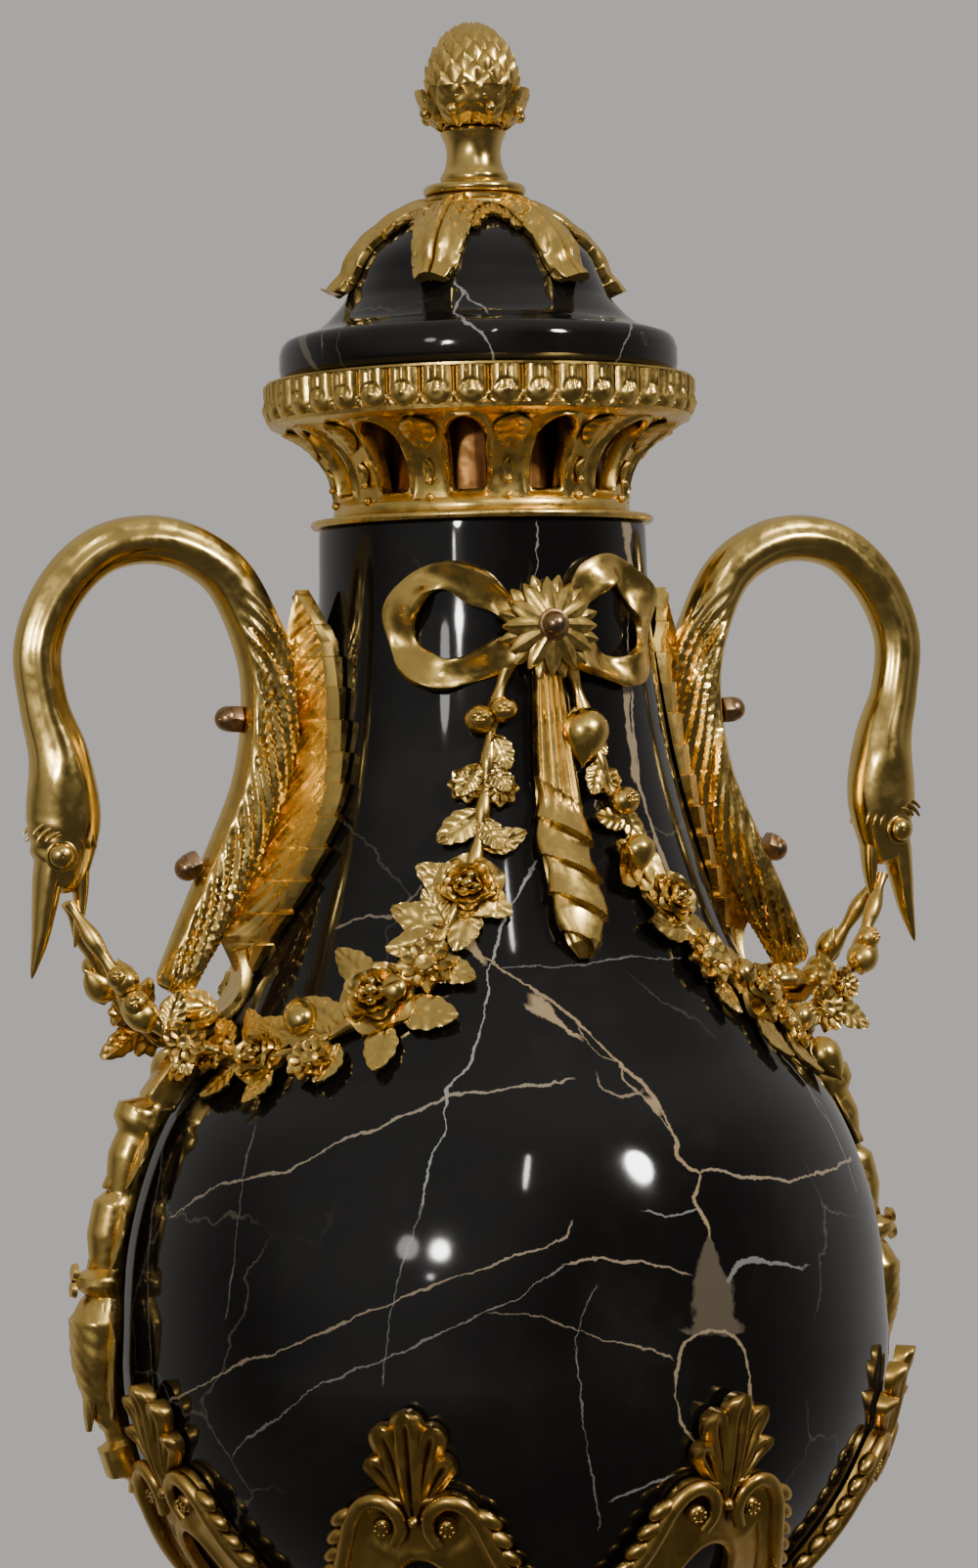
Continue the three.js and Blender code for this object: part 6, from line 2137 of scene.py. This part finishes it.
@dataclass
class Studio:
    """A plain pale room: floor, soft light and camera."""

    azimuth: float = -20.5
    distance: float = 1.11
    eye_level: float = 0.402
    lens: float = 89.0
    roll: float = 1.3
    lamps: tuple[Softbox, ...] = (
        Softbox("key_right", (1.2, 286.9), (0.42, -0.70, 0.58), (0.26, 0.34), 30.0),
        Softbox("key_left", (-28.6, 267.9), (-0.58, -0.74, 0.33), (0.10, 0.11), 3.6, distance=1.19),
        Softbox("tube", (-15.9, 288.3), (-0.13, -0.76, 0.64), (0.045, 0.40), 1.8, tilt=-12.0),
        Softbox("dim_left", (-33.2, 276.9), (-0.70, -0.63, 0.33), (0.22, 0.24), 1.0),
        Softbox("neck_spot", (-30.2, 459.1), (-0.64, -0.76, 0.09), (0.05, 0.04), 0.25))

    def build(self) -> None:
        """Builds the room."""
        self._camera()
        self._world()
        self._floor()
        for lamp in self.lamps:
            lamp.build()

    def _camera(self) -> None:
        """The camera, level with the neck and a little to the left of the front."""
        data = bpy.data.cameras.new("camera")
        data.sensor_fit, data.sensor_height, data.sensor_width = "VERTICAL", 36.0, 36.0
        data.lens = self.lens
        data.shift_x, data.shift_y = 0.00125, -0.0234
        data.clip_start, data.clip_end = 0.05, 50.0
        camera = bpy.data.objects.new("camera", data)
        bpy.context.scene.collection.objects.link(camera)
        turn = math.radians(self.azimuth)
        camera.location = (self.distance * math.sin(turn), -self.distance * math.cos(turn), self.eye_level)
        camera.rotation_euler = (math.radians(90), math.radians(self.roll), turn)
        bpy.context.scene.camera = camera

    def _world(self) -> None:
        """A pale warm wall to the camera; to the rest, a room that is light behind and dim in front."""
        world = bpy.data.worlds.new("room")
        bpy.context.scene.world = world
        world.use_nodes = True
        nodes = Nodes(world.node_tree)
        back = world.node_tree.nodes["Background"]
        way = nodes.add("ShaderNodeTexCoord").outputs["Generated"]
        behind = nodes.dot(way, tuple(unit((0.25, 0.85, 0.10))))
        glow = nodes.ramp(behind, -0.35, 0.75)
        room = nodes.mix(glow, (0.060, 0.057, 0.055, 1), (0.36, 0.345, 0.33, 1))
        above = nodes.ramp(nodes.dot(way, (0.0, 0.0, 1.0)), 0.35, 0.9)
        room = nodes.mix(above, room, (0.40, 0.39, 0.37, 1))
        window = nodes.ramp(nodes.dot(way, tuple(unit((-0.72, -0.52, 0.46)))), 0.55, 1.0)
        room = nodes.mix(window, room, (0.34, 0.335, 0.325, 1))
        seen = nodes.add("ShaderNodeLightPath").outputs["Is Camera Ray"]
        wall = nodes.mix(seen, room, (0.485, 0.457, 0.437, 1))
        world.node_tree.links.new(wall, back.inputs["Color"])
        back.inputs["Strength"].default_value = 1.0

    def _floor(self) -> None:
        """A pale round floor that fades away at its edge."""
        bpy.ops.object.select_all(action="DESELECT")
        bpy.ops.mesh.primitive_circle_add(vertices=96, radius=0.85, fill_type="TRIFAN")
        floor = bpy.context.object
        floor.name = "floor"
        made = bpy.data.materials.new("pale_floor")
        made.use_nodes = True
        nodes = Nodes(made.node_tree)
        shader = made.node_tree.nodes["Principled BSDF"]
        place = nodes.add("ShaderNodeTexCoord").outputs["Object"]
        apart = nodes.add("ShaderNodeVectorMath", {0: place}, operation="LENGTH").outputs["Value"]
        made.node_tree.links.new(nodes.ramp(apart, 0.82, 0.35), shader.inputs["Alpha"])
        shader.inputs["Base Color"].default_value = (0.56, 0.535, 0.51, 1)
        shader.inputs["Roughness"].default_value = 0.7
        floor.data.materials.append(made)
        floor.visible_glossy = False


# ---------------------------------------------------------------- the urn's own finishes

# The third colour of each finish is painted shade, laid in its hollows by the occlusion reading; the copper
# also takes it in its streaks.
GILT = BronzeFinish("gilt_chased", (0.90, 0.61, 0.17), (0.17, 0.085, 0.024), 0.20, 0.36, 0.030, 1.5)
BURNISHED = BronzeFinish("gilt_burnished", (0.90, 0.63, 0.19), (0.26, 0.13, 0.034), 0.15, 0.26, 0.012)
# A darker copy of the gilt: painted shade for the castings low on the urn, the cartouche cup under the belly
# and the stand.
SHADED_GILT = BronzeFinish("gilt_painted_shade", (0.66, 0.41, 0.105), (0.10, 0.045, 0.012), 0.24, 0.38, 0.030)
BROWN = BronzeFinish("brown_nuts", (0.44, 0.27, 0.145), (0.10, 0.05, 0.03), 0.24, 0.38, 0.020)
COPPER = BronzeFinish("copper_sleeve", (0.32, 0.155, 0.045), (0.07, 0.026, 0.01), 0.34, 0.50, 0.012,
                      streaked=True)

BODY_VEINS = (
    Vein(((-2, 464), (-1.8, 456), (-2.6, 446)), 0.35, 0.5),
    Vein(((-8, 371), (-16, 359), (-21, 344), (-22, 342), (-21, 338), (-23.5, 325), (-24.5, 319),
          (-28.5, 312), (-29, 307), (-28.5, 302), (-30.5, 294), (-31.5, 283)), 0.38, 0.75),
    Vein(((-31.5, 283), (-34, 268), (-36, 252), (-36.5, 238)), 0.3, 0.3),
    Vein(((-28, 349), (-20.5, 344), (-15, 339), (-9, 334), (-6, 331), (-2, 326), (0, 322), (4, 315),
          (6.5, 312), (7.5, 306), (8, 301), (9, 296), (8, 293), (9.5, 290), (11.5, 288), (10.5, 285),
          (9, 282), (10, 278), (11, 273)), 0.5, 0.85, 1),
    Vein(((-3.5, 327), (-2.5, 322), (-0.5, 319), (3.5, 317), (2.5, 313), (5.5, 309), (6.5, 304),
          (8, 300)), 0.32, 0.7, 0.9),
    Vein(((-2.5, 315), (-2, 311), (1, 309), (5.5, 310)), 0.3, 0.6, 0.8),
    Vein(((-26.5, 350), (-22.5, 344)), 3, 0.95, 1, -1.6),
    Vein(((-13, 334), (-9, 330), (-3.5, 324)), 3, 0.95, 1, -2),
    Vein(((6.5, 308), (7, 304)), 1.6, 0.9, 1, -0.6),
    Vein(((11, 273), (10.5, 262), (9.5, 247)), 0.4, 0.24, 0.75, 11),
    Vein(((9, 248), (5.5, 246), (4, 242), (3.5, 234), (3.4, 232), (5, 224), (8, 217)), 0.45, 0.7, 0.9),
    Vein(((9, 248), (12, 247), (15, 243), (16, 232), (16, 224), (14, 217), (8, 212)), 0.45, 0.7, 0.9),
    Vein(((-78, 276), (-68, 286), (-53, 292), (-48.5, 296), (-44.5, 300), (-40, 302), (-35, 306),
          (-30, 309), (-28, 311), (-23, 311), (-18, 312), (-12, 313), (-6.5, 314)), 0.42, 0.75, 0.7),
    Vein(((-75, 227), (-60, 240), (-45.5, 250), (-39.5, 256), (-35, 258), (-34, 260), (-27, 265),
          (-21.5, 268), (-17, 271), (-11, 274), (-10, 278)), 0.4, 0.7, 0.8),
    Vein(((-62, 216), (-45.5, 237), (-39.5, 242), (-34, 246), (-28.5, 251), (-22.5, 256), (-18, 260),
          (-11, 268)), 0.4, 0.4, 0.3),
    Vein(((-11, 268), (-8, 269), (-4, 268), (0, 267), (3.5, 265), (7, 263)), 0.42, 0.7, 0.8),
    Vein(((-22, 256), (-15.5, 255), (-11, 251), (-5, 247), (0, 245), (3, 242)), 0.3, 0.55, 0.8),
    Vein(((11.5, 289), (14.5, 289), (18.5, 286), (25.5, 285), (29.5, 283), (35.5, 284), (42.5, 284),
          (54, 285)), 0.45, 0.75, 0.8),
    Vein(((1.5, 280), (4.5, 278), (9.5, 279)), 0.3, 0.45),
    Vein(((13, 261), (14.5, 264), (18, 265), (21.5, 263), (28.5, 261)), 0.7, 0.45),
    Vein(((-7, 262), (-9.5, 255), (-10.5, 248), (-10, 238)), 0.3, 0.25),
    Vein(((-18.5, 343), (0, 343), (13.5, 344), (27.5, 343)), 0.3, 0.3),
    Vein(((47.5, 315), (49.5, 309), (48, 300), (50, 294)), 0.4, 0.6, 0.8),
    Vein(((39, 465), (41, 456), (42, 449)), 3.6, 0.75, 0.9, -1.6),
    Vein(((31, 418), (29, 394), (33, 369), (35, 356)), 1.9, 0.8, 0.9, -1),
    Vein(((42, 449), (35, 430), (33, 410), (30, 390)), 0.6, 0.8, 0.8),
    Vein(((-61, 354), (-52, 357), (-45, 356), (-38, 365)), 0.4, 0.6, 0.7),
    Vein(((-95, 309), (-85, 287), (-82, 258), (-79, 227)), 0.3, 0.35),
    Vein(((-63, 302), (-61, 267), (-62, 252)), 0.25, 0.3),
    Vein(((-5, 206), (-1, 208), (4, 211)), 0.35, 0.4),
    Vein(((-10.5, 246), (-9, 219), (-6.5, 198)), 0.3, 0.3),
    Vein(((48, 314), (50, 300), (50, 276)), 0.35, 0.5, 0.3),
    Vein(((-86, 333), (-85, 327)), 4, 0.25, 0.6))

LID_VEINS = (
    Vein(((-30, 531), (-26, 527), (-29, 522), (-22, 517), (-18, 512), (-16, 507)), 0.4, 0.6),
    Vein(((-30, 531), (-25, 527), (-18, 523), (-17, 521)), 0.3, 0.5),
    Vein(((-84, 520), (-78, 514), (-74, 508)), 2.0, 0.35, 0.6),
    Vein(((-71, 519), (-69, 512)), 0.3, 0.4, 0.4),
    Vein(((26, 521), (30, 518), (24, 513), (22, 507)), 0.35, 0.5, 0.3))


def main() -> None:
    """Builds the urn and its studio."""
    logging.basicConfig(level=logging.INFO, format="%(name)s: %(message)s")
    gilt, burnished, shaded = GILT.material(), BURNISHED.material(), SHADED_GILT.material()
    brown, copper = BROWN.material(), COPPER.material()
    plain_marble = MarbleFinish("marble_stand").material()
    # The stand's castings take the darker gilt copy, painted shade.
    Stand().build(shaded, burnished, plain_marble)
    Vessel().build(MarbleFinish("marble_body", BODY_VEINS), MarbleFinish("marble_lid", LID_VEINS))
    # The cartouche cup under the belly takes the darker gilt copy, painted shade.
    LowerCalyx().build(shaded)
    Gallery().build(gilt, copper)
    CapAndFinial().build(gilt, burnished)
    for side, sign in (("left", -1), ("right", 1)):
        SwanHandle().build(side, sign, burnished)
        WingPlate().build(side, sign, gilt)
        SideDrop().build(side, sign, gilt)
    HandleNuts().build(brown)
    for name, angle in (("front", 0.0), ("back", 180.0)):
        Bow().build(name, angle, gilt, brown)
    LEFT_SWAG.build("front_left", False, -1, gilt)
    RIGHT_SWAG.build("front_right", False, 1, gilt)
    LEFT_SWAG.build("back_right", True, -1, gilt)
    RIGHT_SWAG.build("back_left", True, 1, gilt)
    GarlandScrews().build(gilt)
    Studio().build()


if __name__ == "__main__":
    main()
